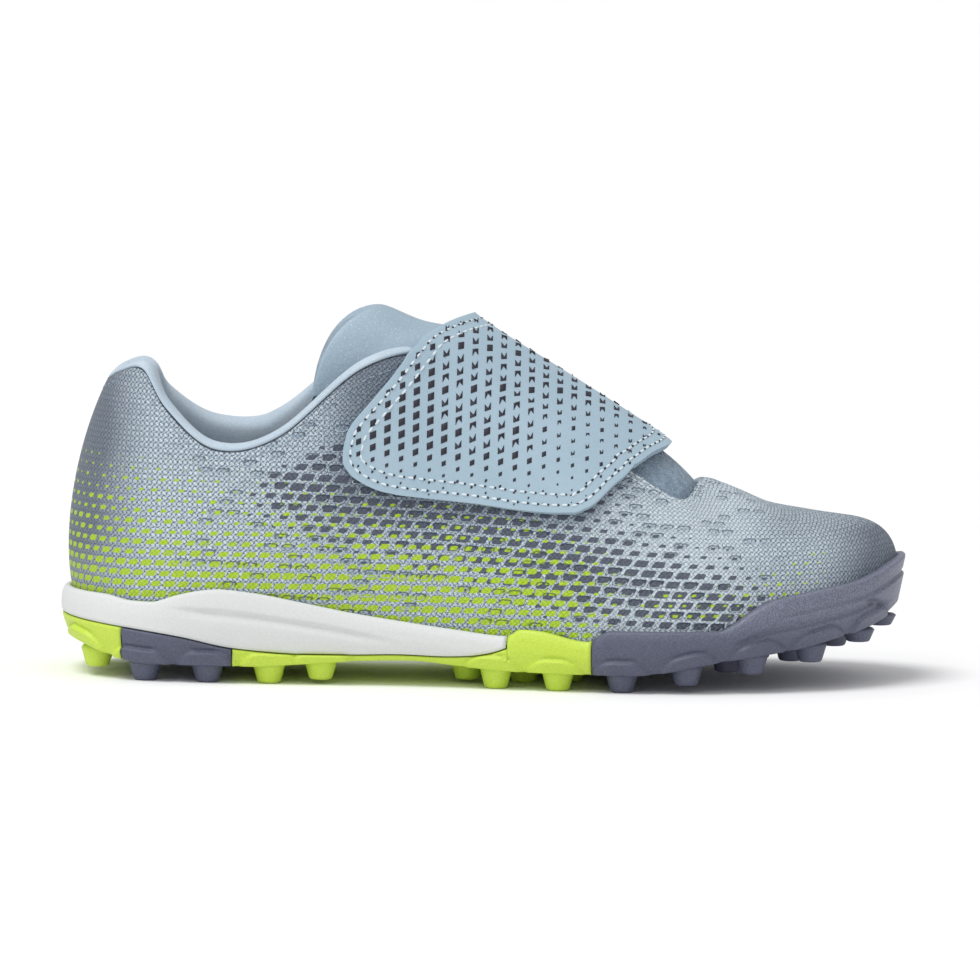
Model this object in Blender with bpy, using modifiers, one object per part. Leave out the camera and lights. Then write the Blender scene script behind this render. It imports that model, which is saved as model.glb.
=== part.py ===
"""Child's turf trainer, right shoe, closed by one wide strap.

+X runs from the heel to the toe, +Y to the medial side, +Z up. The origin is on the floor,
under the middle of the shoe's length. All lengths below are in millimetres until `MM` turns
them into metres.
"""
import math

import bmesh
import bpy
import numpy as np
from mathutils import Matrix, Vector

MM = 0.001

# Driving dimensions, in millimetres.
LENGTH = 210.2        # heel tip to toe tip of the sole
BALL = 80.2           # widest part of the sole
HEIGHT = 91.8         # floor to the top of the tongue
WALL = 1.6            # upper's wall
RIM = 2.0             # rim of the sole that holds the foot of the upper
TOE_IN = 1.2          # how much further in the upper's foot stands than its wall at the rim
GAP = 0.3             # between pieces that lie against one another
STUD = 4.4            # how far a stud stands below the sole
STUD_BASE = 4.3       # radius of a stud where it leaves the sole
STUD_TIP = 3.0        # radius of a stud at its tip
STUD_ROOT = 1.4       # how far a stud runs up into the sole
STRAP = 2.0           # strap thickness
BUMPER_STEP = 0.55    # step in the wall of the toe bumper
INSOLE = 3.2          # insole thickness
LINING = 4.6          # padding of the collar
HALF = LENGTH / 2
LONG = LENGTH / 210.2  # the tables below are drawn for a sole of 210.2 mm,
TALL = HEIGHT / 91.8   # and those of the upper, tongue and strap for a shoe of 91.8 mm
HALF_BALL = BALL / 2

# Plan outline of the sole. Each row is one station between the heel tip and the toe tip.
# along: share of half the length from the middle; lateral, medial: shares of half the ball width;
# tuck: how far the bottom edge sits inside the outline, mm.
OUTLINE = {
    "along":   [-1.001, -.982, -.928, -.838, -.686, -.476, -.238, .000,
                .210, .400, .571, .723, .838, .924, .984, 1.003],
    "lateral": [.000, -.262, -.487, -.651, -.733, -.758, -.773, -.843,
                -.953, -1.002, -.943, -.810, -.640, -.410, -.140, .150],
    "medial":  [.000, .269, .494, .653, .718, .683, .638, .688,
                .813, .953, .998, .958, .853, .673, .430, .150],
    "tuck":    [1.7, 1.8, 2.0, 2.0, 2.0, 1.8, 1.8, 1.8, 1.8, 1.8, 2.0, 2.4, 2.6, 2.6, 2.5, 2.4],
}

# Heights over the floor, in mm, against the distance from the middle of the shoe, in mm.
# under: bottom of the sole between the studs; rubber: top of the outsole under the midsole;
# bed: floor that the insole lies on; rim: top of the sole's edge.
UNDER = {
    "x": [-105.5, -103, -99, -92, -82, -58, -45, -30, -18, -6, 10, 36,
          44, 52, 60, 72, 80, 88, 95, 99, 102, 105],
    "z": [10.4, 9.2, 7.8, 5.6, 4.4, 4.4, 5.2, 6.2, 6.5, 5.5, 4.6, 4.5,
          5.2, 6.7, 8.1, 9.8, 11.0, 12.9, 14.5, 15.9, 17.4, 19.2],
}
RUBBER = {
    "x": [-105.5, -102, -90, -76, -62, -46, -33, -21, -11, -4, 0, 3, 5.6],
    "z": [14.6, 14.3, 13.2, 11.3, 8.6, 7.5, 7.5, 7.8, 7.6, 7.9, 8.5, 9.3, 10.3],
}
BED = {
    "x": [-105.5, -90, -60, -30, 0, 12, 50, 60, 70, 80, 90, 105],
    "z": [17.4, 16.4, 15.2, 13.6, 11.6, 10.6, 9.6, 10.4, 12.6, 15.0, 17.2, 20.5],
}
RIM_TOP = {
    "x": [-105.5, -95.6, -88, -83, -77, -71, -66, -58, -46, -33, -21, -8, 5.2, 9,
          13, 25.6, 27.4, 31, 58, 62, 67, 72, 83, 94, 99, 103, 105],
    "z": [21.3, 21.2, 20.0, 19.9, 21.6, 23.0, 23.5, 22.8, 20.7, 18.2, 16.4, 14.7, 13.4, 15.2,
          15.0, 12.7, 13.8, 15.5, 15.7, 17.2, 20.4, 22.8, 25.0, 26.8, 28.4, 30.3, 31.2],
}

# Upper, one row per station of the outline, for the lateral and then the medial side.
# edge_x, edge_y, edge_z: its upper edge, mm: collar, throat, then the ridge of the vamp;
# out, rise: how the wall leaves the sole; swell, fall: how it comes to its upper edge, mm.
LATERAL = {
    "edge_x": [-94.4, -91.4, -85.6, -79.5, -67.5, -51.5, -30.5, -12.0, 12.0, 35.0, 48.5, 54.6, 67.0, 79.0, 87.0, 90.2],
    "edge_y": [0.0, -8.6, -15.4, -19.6, -23.0, -24.2, -22.2, -17.4, -16.0, -16.8, -17.6, 2.0, 3.4, 4.6, 5.4, 5.6],
    "edge_z": [72.8, 75.2, 76.3, 66.8, 57.4, 60.8, 78.2, 80.6, 67.6, 54.0, 46.4, 50.0, 44.8, 42.4, 41.2, 40.8],
    "out":    [4.4, 4.0, 3.4, 2.8, 2.6, 2.2, 2.0, 2.0, 2.0, 2.0, 2.2, 2.4, 2.4, 2.4, 2.8, 2.8],
    "rise":   [14, 14, 14, 14, 14, 15, 18, 20, 19, 16, 15, 15, 14, 13, 13, 12.7],
    "swell":  [8.2, 7.4, 5.6, 3.4, 2.4, 2.8, 3.8, 7.6, 10.6, 11.0, 10.0, 22.0, 20.0, 15.0, 12.0, 11.0],
    "fall":   [17, 17, 17, 14, 12, 14, 20, 18, 14, 10.6, 7.0, 4.0, 2.8, 1.8, 1.4, 1.3],
}
MEDIAL = {
    "edge_x": LATERAL["edge_x"],
    "edge_y": [0.0, 8.6, 15.4, 19.6, 22.6, 23.4, 21.4, 18.4, 18.0, 19.6, 20.0, 2.0, 3.4, 4.6, 5.4, 5.6],
    "edge_z": [72.8, 74.6, 74.8, 67.0, 60.0, 61.6, 78.0, 81.4, 69.4, 55.0, 46.8, 50.0, 44.8, 42.4, 41.2, 40.8],
    "out":    [4.4, 4.0, 3.4, 2.6, 1.6, 0.6, 0.2, 0.6, 1.6, 2.2, 2.4, 2.4, 2.4, 2.4, 2.8, 2.8],
    "rise":   [14, 14, 14, 14, 15, 17, 20, 21, 19, 16, 15, 15, 14, 13, 13, 12.7],
    "swell":  [8.2, 7.4, 5.6, 3.4, 2.6, 3.2, 4.8, 8.0, 10.4, 11.0, 10.0, 20.0, 18.0, 14.0, 12.0, 11.0],
    "fall":   [17, 17, 16, 14, 12, 14, 20, 18, 14, 10.6, 7.0, 4.0, 2.8, 1.8, 1.4, 1.3],
}

# Middle line of the instep over the open throat, mm, for the stations that the throat spans.
CROWN = {
    "station": [6.0, 6.6, 6.82, 7.0, 7.4, 8.0, 8.6, 9.0, 9.4, 9.8, 10.3, 11.0],
    "x": [-18.0, -9.4, -6.2, -3.0, 4.0, 16.0, 28.0, 36.0, 42.0, 45.6, 50.0, 54.6],
    "z": [87.4, 89.0, 89.4, 87.2, 82.6, 75.4, 68.0, 63.0, 59.2, 56.4, 53.0, 50.0],
}
LAST = len(OUTLINE["along"]) - 1


def curve(table, column, at, key="x"):
    """Smooth curve through one column of a table, without overshoot."""
    xs = np.asarray(table[key], float)
    ys = np.asarray(table[column], float)
    step = np.diff(xs)
    slope = np.diff(ys) / step
    tangent = np.zeros(len(xs))
    same = slope[:-1] * slope[1:] > 0
    a, b = slope[:-1][same], slope[1:][same]
    tangent[1:-1][same] = 2 * a * b / (a + b)
    tangent[0], tangent[-1] = slope[0], slope[-1]
    at = min(max(at, xs[0]), xs[-1])
    i = min(int(np.searchsorted(xs, at, side="right")) - 1, len(step) - 1)
    t = (at - xs[i]) / step[i]
    return ((2 * t**3 - 3 * t**2 + 1) * ys[i] + (t**3 - 2 * t**2 + t) * step[i] * tangent[i]
            + (3 * t**2 - 2 * t**3) * ys[i + 1] + (t**3 - t**2) * step[i] * tangent[i + 1])


def height(table, x):
    return curve(table, "z", x / LONG)


def ring_value(lateral, medial, station, side):
    """Value at a station on one side, from a closed ring: heel, lateral side, toe, medial side."""
    ring = list(lateral) + list(medial[-2:0:-1])
    count = len(ring)
    at = station if side < 0 else count - station
    i = math.floor(at)
    t = at - i
    a, b, c, d = (ring[(i + k) % count] for k in (-1, 0, 1, 2))
    return b + 0.5 * t * (c - a + t * (2 * a - 5 * b + 4 * c - d + t * (3 * (b - c) + d - a)))


def outline(station, side):
    along = OUTLINE["along"]
    x = HALF * ring_value(along, along, station, side)
    y = HALF_BALL * ring_value(OUTLINE["lateral"], OUTLINE["medial"], station, side)
    return np.array((x, y))


def inward(station, side):
    """Unit normal of the outline in plan, pointing into the shoe."""
    d = 0.02
    if station < d or station > LAST - d:
        return np.array((1.0 if station < d else -1.0, 0.0))
    t = outline(station + d, side) - outline(station - d, side)
    n = np.array((-t[1], t[0])) * (-side)
    return n / np.linalg.norm(n)


def station_at(x, side=-1):
    """Station whose outline point lies at this distance from the middle."""
    low, high = 0.0, float(LAST)
    for _ in range(40):
        mid = (low + high) / 2
        if outline(mid, side)[0] < x:
            low = mid
        else:
            high = mid
    return low


def column(station, side):
    """Four control points of the upper's wall at a station."""
    rows = {key: ring_value(LATERAL[key], MEDIAL[key], station, side) for key in LATERAL}
    inset = inward(station, side)
    foot = outline(station, side) + inset * (RIM + GAP + TOE_IN)
    bed = height(BED, foot[0]) + GAP
    p0 = np.array((foot[0], foot[1], bed))
    p3 = np.array((rows["edge_x"] * LONG, rows["edge_y"], rows["edge_z"] * TALL))
    away = foot - p3[:2]
    away = away / np.linalg.norm(away)
    p1 = p0 + np.array((-inset[0] * rows["out"], -inset[1] * rows["out"], rows["rise"]))
    p2 = p3 + np.array((away[0] * rows["swell"], away[1] * rows["swell"], -rows["fall"]))
    return p0, p1, p2, p3


def bezier(points, t):
    a, b, c, d = points
    u = 1 - t
    return u**3 * a + 3 * u * u * t * b + 3 * u * t * t * c + t**3 * d


def shell(station, side, v):
    """Outer surface. v runs from 0 at the sole to 1 at the upper's edge, and to 2 at the crown."""
    points = column(station, side)
    if v <= 1:
        return bezier(points, v)
    edge = points[3]
    leave = edge - points[2]
    leave = leave / np.linalg.norm(leave)
    at = min(max(station, CROWN["station"][0]), CROWN["station"][-1])
    crown = np.array((curve(CROWN, "x", at, "station") * LONG, 1.5, curve(CROWN, "z", at, "station") * TALL))
    reach = np.linalg.norm(crown - edge)
    bridge = (edge, edge + leave * reach * 0.32, crown + np.array((0, side * reach * 0.32, 0)), crown)
    return bezier(bridge, v - 1)


def facing(station, side, v):
    """Unit normal of the outer surface, pointing out of the shoe."""
    d = 0.01
    low, high = max(station - d, 0.0), min(station + d, float(LAST))
    if v > 1:
        low, high = max(station - d, 6.0), min(station + d, 11.0)
    along = shell(high, side, v) - shell(low, side, v)
    if station <= d or station >= LAST - d:
        along = np.array((0, -side * (1 if station <= d else -1), 0), float)
        along = -along if station <= d else -along
    top = 2.0 if v > 1 else 1.0
    up = shell(station, side, min(v + d, top)) - shell(station, side, max(v - d, 0 if v <= 1 else 1))
    n = np.cross(along, up) * (-side)
    n = n / np.linalg.norm(n)
    centre = np.array((min(max(shell(station, side, v)[0], -HALF * 0.67), HALF * 0.67), 0, 20))
    return n if np.dot(n, shell(station, side, v) - centre) > 0 else -n


def offset(station, side, v, distance):
    return shell(station, side, v) + facing(station, side, v) * distance


# Scene, materials and mesh helpers.
for old in list(bpy.data.objects):
    bpy.data.objects.remove(old, do_unlink=True)
scene = bpy.context.scene
scene.unit_settings.system = "METRIC"
shoe = bpy.data.collections.new("turf_trainer")
helpers = bpy.data.collections.new("cutters")
scene.collection.children.link(shoe)
scene.collection.children.link(helpers)


def material(name, colour, roughness):
    made = bpy.data.materials.new(name)
    made.use_nodes = True
    shader = made.node_tree.nodes["Principled BSDF"]
    shader.inputs["Base Color"].default_value = (*colour, 1)
    shader.inputs["Roughness"].default_value = roughness
    made.diffuse_color = (*colour, 1)
    return made


LIME = material("lime_rubber", (0.56, 0.77, 0.12), 0.6)
SLATE = material("slate_rubber", (0.12, 0.13, 0.20), 0.65)
FOAM = material("white_foam", (0.80, 0.80, 0.82), 0.7)
WOVEN = material("woven_blue", (0.43, 0.55, 0.65), 0.8)
SMOOTH = material("smooth_lining", (0.46, 0.58, 0.68), 0.7)
SHIMMER = material("shimmer_tongue", (0.36, 0.47, 0.56), 0.55)
SUEDE = material("pale_suede", (0.43, 0.58, 0.66), 0.85)
SOCK = material("insole_cloth", (0.18, 0.23, 0.27), 0.9)


def place(name, mesh, look, where=shoe):
    thing = bpy.data.objects.new(name, mesh)
    thing.data.materials.append(look)
    where.objects.link(thing)
    return thing


def skin(name, rings, look):
    """Solid through a row of closed sections with the same number of points."""
    form = bmesh.new()
    rows = [[form.verts.new(np.asarray(p, float) * MM) for p in ring] for ring in rings]
    count = len(rows[0])
    for one, two in zip(rows[:-1], rows[1:]):
        for k in range(count):
            j = (k + 1) % count
            form.faces.new((one[k], one[j], two[j], two[k]))
    for row in (rows[0], rows[-1]):
        if (row[0].co - row[-1].co).length > 0.02 * MM:
            form.faces.new(row)
    bmesh.ops.remove_doubles(form, verts=form.verts, dist=0.005 * MM)
    bmesh.ops.dissolve_degenerate(form, edges=form.edges, dist=0.002 * MM)
    bmesh.ops.recalc_face_normals(form, faces=form.faces)
    mesh = bpy.data.meshes.new(name)
    form.to_mesh(mesh)
    form.free()
    return place(name, mesh, look)


# Sole.
def wall_point(station, side, z):
    """Point of the sole's side wall at a height."""
    edge = outline(station, side)
    low, high = height(UNDER, edge[0]), height(RIM_TOP, edge[0])
    share = min(max((z - low) / (high - low), 0), 1)
    tuck = ring_value(OUTLINE["tuck"], OUTLINE["tuck"], station, side)
    inset = tuck * max(0, 1 - share / 0.55) ** 1.6 + 0.9 * max(0, (share - 0.7) / 0.3) ** 2
    lean = min(max((edge[0] / HALF - 0.76) / 0.21, 0), 1)
    if lean:
        inset = (1 - lean) * inset + lean * tuck * (1 - share)
    p = edge + inward(station, side) * inset
    return np.array((p[0], p[1], z))


def inner_point(station, side, inset, z=None):
    p = outline(station, side) + inward(station, side) * inset
    return np.array((p[0], p[1], height(BED, p[0]) if z is None else z))


def cup(station, side, top):
    """Inner side of the rim, from its top down to the bed, a gap away from the upper."""
    points = []
    foot = shell(station, side, 0)
    for share in (1, .66, .33):
        z = foot[2] + (top - foot[2]) * share
        low, high = 0.0, 0.6
        for _ in range(24):
            mid = (low + high) / 2
            if shell(station, side, mid)[2] < z:
                low = mid
            else:
                high = mid
        p = shell(station, side, low)
        p[:2] -= inward(station, side) * (GAP + 0.05)
        points.append(p)
    foot[:2] -= inward(station, side) * (GAP + 0.05)
    foot[2] -= GAP
    return points + [foot]


def both(profile, station):
    """Closed section from the two sides' profiles."""
    return profile(station, -1) + profile(station, 1)[::-1]


def rear_outsole(station, side):
    x = outline(station, side)[0]
    low, high = height(UNDER, x), height(RUBBER, x)
    return [wall_point(station, side, low + (high - low) * share) for share in (0, .2, .45, .72, 1)]


def rimmed_outsole(station, side, lifted=True):
    x = outline(station, side)[0]
    low = height(UNDER, x)
    if not lifted:
        high = height(RUBBER, x)
        shares = (0, .2, .45, .58, .6, .72, 1)
        wall = [wall_point(station, side, low + (high - low) * share) for share in shares]
        return wall + [inner_point(station, side, RIM + 0.3 * k, high) for k in range(4)]
    high = height(RIM_TOP, x)
    step = BUMPER_STEP * min(max((x / HALF - 0.67) / 0.08, 0), 1)
    wall = []
    for share in (0, .2, .45, .66, .70, .86, 1):
        p = wall_point(station, side, low + (high - low) * share)
        if share > .66:
            p[:2] += inward(station, side) * step
        wall.append(p)
    return wall + cup(station, side, high - 0.1)


def foam(station, side):
    x = outline(station, side)[0]
    low, high = height(RUBBER, x) + GAP, height(RIM_TOP, x)
    wall = [wall_point(station, side, low + (high - low) * share) for share in (0, .3, .55, .8, 1)]
    return wall + cup(station, side, high - 0.1)


def sections(profile, x0, x1, count):
    """Closed sections from x0 to x1, closer together near the tips of the shoe."""
    s0 = 0.0 if x0 <= -HALF else station_at(x0)
    s1 = float(LAST) if x1 >= HALF else station_at(x1)
    return [both(profile, s) for s in np.linspace(s0, s1, count)]


def low_outsole(station, side):
    return rimmed_outsole(station, side, False)


TIP_JOINT = -0.856 * HALF
HEEL_JOINT = -0.593 * HALF
FOAM_END = 0.052 * HALF
FRONT_JOINT = 0.253 * HALF
tip = skin("outsole_heel_tip", sections(rear_outsole, -HALF, TIP_JOINT - GAP / 2, 9), LIME)
heel = skin("outsole_heel", sections(rear_outsole, TIP_JOINT + GAP / 2, HEEL_JOINT - GAP / 2, 7), SLATE)
low_part = sections(low_outsole, HEEL_JOINT + GAP / 2, FOAM_END + GAP, 13)
high_part = sections(rimmed_outsole, FOAM_END + GAP + 0.05, FRONT_JOINT - GAP / 2, 7)
arch = skin("outsole_arch", low_part + high_part, LIME)
forefoot = skin("outsole_forefoot", sections(rimmed_outsole, FRONT_JOINT + GAP / 2, HALF, 25), SLATE)
midsole = skin("midsole", sections(foam, -HALF, FOAM_END, 33), FOAM)


# Studs: x of the edge rows, mm, and the rows between them as shares of the half width there.
EDGE_ROW = (-100.6, -85.4, -68.7, -53.2, -40.3, 2.2, 17.4, 33.8, 51.0, 68.2, 83.9, 97.5)
INNER_ROWS = {
    "x":     [-95.6, -84.2, -68.7, -53.2, -40.3, -4.0, 10.0, 21.8, 33.8, 51.0, 60.4, 76.2, 87.0, 98.6],
    "share": [0.0, 0.0, 0.36, 0.36, 0.36, 0.50, 0.36, 0.22, 0.50, 0.30, 0.52, 0.42, 0.31, 0.0],
}  # a share of 0 is one stud in the middle
MIDDLE_ROW = (2.2, 33.8, 68.2)


def add_studs(body, centres):
    """Conical studs, one mesh for each block of the sole, joined to it."""
    form = bmesh.new()
    for x, y in centres:
        under = height(UNDER, x)
        foot = under - STUD * (1 - 0.45 * min(max((x / HALF - 0.74) / 0.19, 0), 1))
        foot = 0.0 if foot < 0.9 else foot
        root = under + STUD_ROOT
        at = Matrix.Translation(Vector((x, y, (foot + root) / 2)) * MM)
        bmesh.ops.create_cone(form, cap_ends=True, segments=12, radius1=STUD_TIP * MM, radius2=STUD_BASE * MM,
                              depth=(root - foot) * MM, matrix=at)
    mesh = bpy.data.meshes.new(body.name + "_studs")
    form.to_mesh(mesh)
    form.free()
    tool = place(body.name + "_studs", mesh, body.data.materials[0], helpers)
    tool.hide_render = True
    tool.display_type = "WIRE"
    join = body.modifiers.new("studs", "BOOLEAN")
    join.operation = "UNION"
    join.solver = "EXACT"
    join.object = tool


def row_across(x, share):
    """One stud in the middle of the sole, or two at a share of its half width from the middle."""
    x = x * LONG
    left, right = outline(station_at(x, -1), -1)[1], outline(station_at(x, 1), 1)[1]
    middle, half = (left + right) / 2, (right - left) / 2
    return [(x, middle)] if share == 0 else [(x, middle - share * half), (x, middle + share * half)]


studs = []
for side in (-1, 1):
    for x in EDGE_ROW:
        s = station_at(x * LONG, side)
        p = outline(s, side) + inward(s, side) * (STUD_BASE + 1.4)
        studs.append((p[0], p[1]))
for x, share in zip(INNER_ROWS["x"], INNER_ROWS["share"]):
    studs += row_across(x, share)
for x in MIDDLE_ROW:
    studs += row_across(x, 0)
joints = (-LENGTH, TIP_JOINT, HEEL_JOINT, FRONT_JOINT, LENGTH)
for body, low, high in zip((tip, heel, arch, forefoot), joints, joints[1:]):
    add_studs(body, [p for p in studs if low <= p[0] < high])


# Insole.
def sock(station, side):
    inset = RIM + GAP + TOE_IN + WALL + GAP + 0.4
    low = inner_point(station, side, inset)
    low[2] += GAP
    high = low + np.array((0, 0, INSOLE))
    return [low, high]


skin("insole", sections(sock, -HALF, HALF, 41), SOCK)

# Upper: one sheet of columns around the foot, given its wall inwards.
COLUMNS, RISES = 40, 9
form = bmesh.new()
ring = [(s, -1) for s in np.linspace(0, LAST, COLUMNS + 1)]
ring += [(s, 1) for s in np.linspace(LAST, 0, COLUMNS + 1)[1:-1]]
grid = []
for s, side in ring:
    grid.append([form.verts.new(shell(s, side, k / (RISES - 1)) * MM) for k in range(RISES)])
for one, two in zip(grid, grid[1:] + grid[:1]):
    for k in range(RISES - 1):
        form.faces.new((one[k], two[k], two[k + 1], one[k + 1]))
bmesh.ops.remove_doubles(form, verts=form.verts, dist=0.02 * MM)
bmesh.ops.recalc_face_normals(form, faces=form.faces)
mesh = bpy.data.meshes.new("upper")
form.to_mesh(mesh)
form.free()
upper = place("upper", mesh, WOVEN)
wall = upper.modifiers.new("wall", "SOLIDIFY")
wall.thickness = WALL * MM
wall.offset = -1
wall.use_even_offset = True
wall.use_rim = True


# Collar lining: padded, rolled over the upper's edge.
def lining(station, side):
    pad = 1.6 + (LINING - 1.6) * (1 - min(max((station - 4.9) / 0.8, 0), 1))
    back = WALL + GAP
    top = shell(station, side, 1.0)
    n = facing(station, side, 0.98)
    rise = top - shell(station, side, 0.94)
    rise = rise / np.linalg.norm(rise)
    outer = [offset(station, side, v, -back - 0.25 * (1 - v)) for v in (0.42, 0.6, 0.8, 0.97)]
    roll = [top - n * back + rise * (GAP + 0.2), top + rise * (GAP + 0.2), top + n * 0.2 + rise * 1.2,
            top - n * 0.6 + rise * 2.2, top - n * (back + pad * 0.5) + rise * 2.4, top - n * (back + pad) + rise * 0.8]
    inner = [offset(station, side, v, -back - pad * share) for v, share in ((0.86, 1.0), (0.64, 0.75), (0.42, 0.4))]
    return outer + roll + inner


def from_side_to_side(first, count):
    """Stations from the lateral side round the heel to the medial side."""
    half = [(s, -1) for s in np.linspace(first, 0, count)]
    return half + [(s, 1) for s in np.linspace(0, first, count)[1:]]


skin("collar_lining", [lining(s, side) for s, side in from_side_to_side(6.75, 25)], SMOOTH)

# Tongue: rows from its free top end to the front of the throat. crown_x, crown_z: middle line;
# side_x, side_y, side_z: its edges while they are free; station, under: its edges once they lie
# under the upper, with the place of the edge as in `shell`; deep: how much further under it the
# edges lie, mm; thick: at the middle, mm.
TONGUE_ROWS = {
    "row":     [0, 1, 2, 3, 4, 5, 6, 7, 8],
    "crown_x": [-31.2, -26.6, -15.5, -3.0, 12.0, 27.0, 39.0, 48.6, 57.0],
    "crown_z": [89.4, 92.0, 88.0, 85.8, 76.9, 68.0, 60.2, 52.6, 43.4],
    "side_x":  [-43.6, -43.0, -34.0, -20.0, 4.0, 22.0, 37.0, 46.0, 50.0],
    "side_y":  [13.4, 14.0, 14.2, 14.0, 14.2, 14.8, 14.8, 14.5, 9.0],
    "side_z":  [68.6, 70.4, 70.8, 71.0, 63.0, 53.5, 44.5, 42.5, 45.0],
    "station": [6.0, 6.0, 6.4, 7.0, 7.8, 8.6, 9.3, 10.0, 10.8],
    "under":   [0.9, 0.9, 0.9, 0.86, 0.84, 0.84, 0.84, 0.84, 0.90],
    "buried":  [0, 0, 0, 0.6, 1, 1, 1, 1, 1],
    "deep":    [0, 0, 0, 0, 0, 0, 0, 0.8, 1.2],
    "thick":   [3.6, 5.0, 5.4, 4.6, 4.4, 4.0, 3.0, 2.2, 1.6],
}


def tongue(at):
    value = {key: curve(TONGUE_ROWS, key, at, "row") for key in TONGUE_ROWS}
    crown = np.array((value["crown_x"] * LONG, 1.5, value["crown_z"] * TALL))
    top, low = [], []
    for k in range(-5, 6):
        side = -1 if k < 0 else 1
        t = abs(k) / 5
        free = np.array((value["side_x"] * LONG, side * value["side_y"] + 0.8, value["side_z"] * TALL))
        tucked = offset(value["station"], side, value["under"], -WALL - GAP - 0.5 - value["deep"])
        edge = free + (tucked - free) * value["buried"]
        lip = offset(value["station"], side, 1.0, -WALL - GAP - 1.1 - value["deep"])
        sweep = crown + (edge - crown) * np.array((0.86, 1.0, 0.05))
        sweep = sweep + (lip - sweep) * value["buried"]
        half = abs(edge[1] - crown[1]) * 0.5
        start = crown + np.array((0, side * half, -2.4 * value["deep"]))
        p = bezier((crown, start, sweep, edge), t)
        thick = value["thick"] * (1 - 0.5 * t * t)
        inside = np.array((crown[0] - 8, 0.8, crown[2] - 32))
        n = (p - inside) / np.linalg.norm(p - inside)
        top.append(p)
        low.append(p - n * thick)
    return top + low[::-1]


skin("tongue", [tongue(s) for s in np.linspace(0, 8, 21)], SHIMMER)

# Strap: rows from its free end on the lateral side, over the instep, to its sewn end on the
# medial side. v: place across the shoe as in `shell`, at the rear edge; tilt: how much further up
# the front edge is; sag: how far the middle hangs below; rear, front: stations of its two edges.
STRAP_ROWS = {
    "row":   [0, 0.12, 0.3, 0.6, 1, 2, 3, 4, 5, 6, 7, 8, 9, 10, 11],
    "v":     [0.52, 0.545, 0.585, 0.64, 0.70, 0.80, 0.87, 0.94, 1.02, 1.40, 2.00, 2.60, 3.00, 3.25, 3.50],
    "tilt":  [0.04, 0.04, 0.028, 0.015, 0.006, -0.01, 0, 0.01, 0.01, 0, 0, 0, 0, 0, 0],
    "sag":   [0.058, 0.057, 0.055, 0.049, 0.040, 0.020, 0.008, 0, 0, 0, 0, 0, 0, 0, 0],
    "rear":  [6.20, 6.02, 5.86, 5.73, 5.67, 5.74, 6.04, 6.36, 6.60, 6.86, 6.90, 7.04, 7.04, 6.96, 6.90],
    "front": [8.17, 8.26, 8.35, 8.45, 8.55, 8.70, 8.85, 8.98, 9.08, 9.35, 9.70, 9.45, 9.20, 9.00, 8.90],
}


def on_shell(station, v, distance):
    return offset(station, -1, v, distance) if v <= 2 else offset(station, 1, 4 - v, distance)


def ride_up(station, v):
    """How much higher the strap lies where it crosses the padded collar."""
    across = min(v, 4 - v)
    return 1.1 * math.exp(-((station - 6.6) / 0.35) ** 2 - ((across - 1.05) / 0.16) ** 2)


def strap(at):
    value = {key: curve(STRAP_ROWS, key, at, "row") for key in STRAP_ROWS}
    line = []
    for t in (k / 10 for k in range(11)):
        station = value["rear"] + (value["front"] - value["rear"]) * t
        line.append((station, value["v"] + value["tilt"] * t - value["sag"] * 4 * t * (1 - t)))
    low = [on_shell(s, v, GAP + ride_up(s, v)) for s, v in line]
    high = [on_shell(s, v, GAP + STRAP + ride_up(s, v)) for s, v in line]
    return high + low[::-1]


skin("strap", [strap(s) for s in (0, .06, .12, .3, .6, 1, *np.linspace(1.5, 11, 27))], SUEDE)
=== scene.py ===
# %% [markdown]
# # A child's turf trainer
# A right shoe with a printed woven upper, a padded collar and tongue, one wide strap, a white
# foam midsole and a studded rubber outsole in four blocks of colour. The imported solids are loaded
# first and are never changed. Every visible piece is made again from the same sizes at a finer
# grain, and takes the place of its solid, because weave, stitches and soft edges need more faces
# than a solid should have.

import functools
import math

import bmesh
import bpy
import numpy as np
from mathutils import Matrix, Vector


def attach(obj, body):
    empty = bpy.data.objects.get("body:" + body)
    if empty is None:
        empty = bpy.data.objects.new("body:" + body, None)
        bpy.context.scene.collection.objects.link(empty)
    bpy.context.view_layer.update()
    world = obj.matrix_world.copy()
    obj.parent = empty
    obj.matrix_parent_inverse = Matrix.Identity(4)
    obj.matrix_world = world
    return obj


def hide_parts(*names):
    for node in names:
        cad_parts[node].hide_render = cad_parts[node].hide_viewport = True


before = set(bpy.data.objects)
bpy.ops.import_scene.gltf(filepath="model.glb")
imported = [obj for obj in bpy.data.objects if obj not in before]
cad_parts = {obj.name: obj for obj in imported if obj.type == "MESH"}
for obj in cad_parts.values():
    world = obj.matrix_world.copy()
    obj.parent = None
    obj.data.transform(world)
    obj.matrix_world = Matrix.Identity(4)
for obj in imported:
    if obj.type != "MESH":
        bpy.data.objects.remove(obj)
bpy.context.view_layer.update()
print("solids:", ", ".join(sorted(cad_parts)))

# %% [markdown]
# ## Camera
# A product photo is taken from far off with a long lens, so that the near and the far side of the
# shoe keep the same scale. An orthographic camera would be close to it, but a far perspective one
# is truer. It looks along +Y from six degrees above the floor and is rolled by less than a
# degree, as the picture is.

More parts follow.
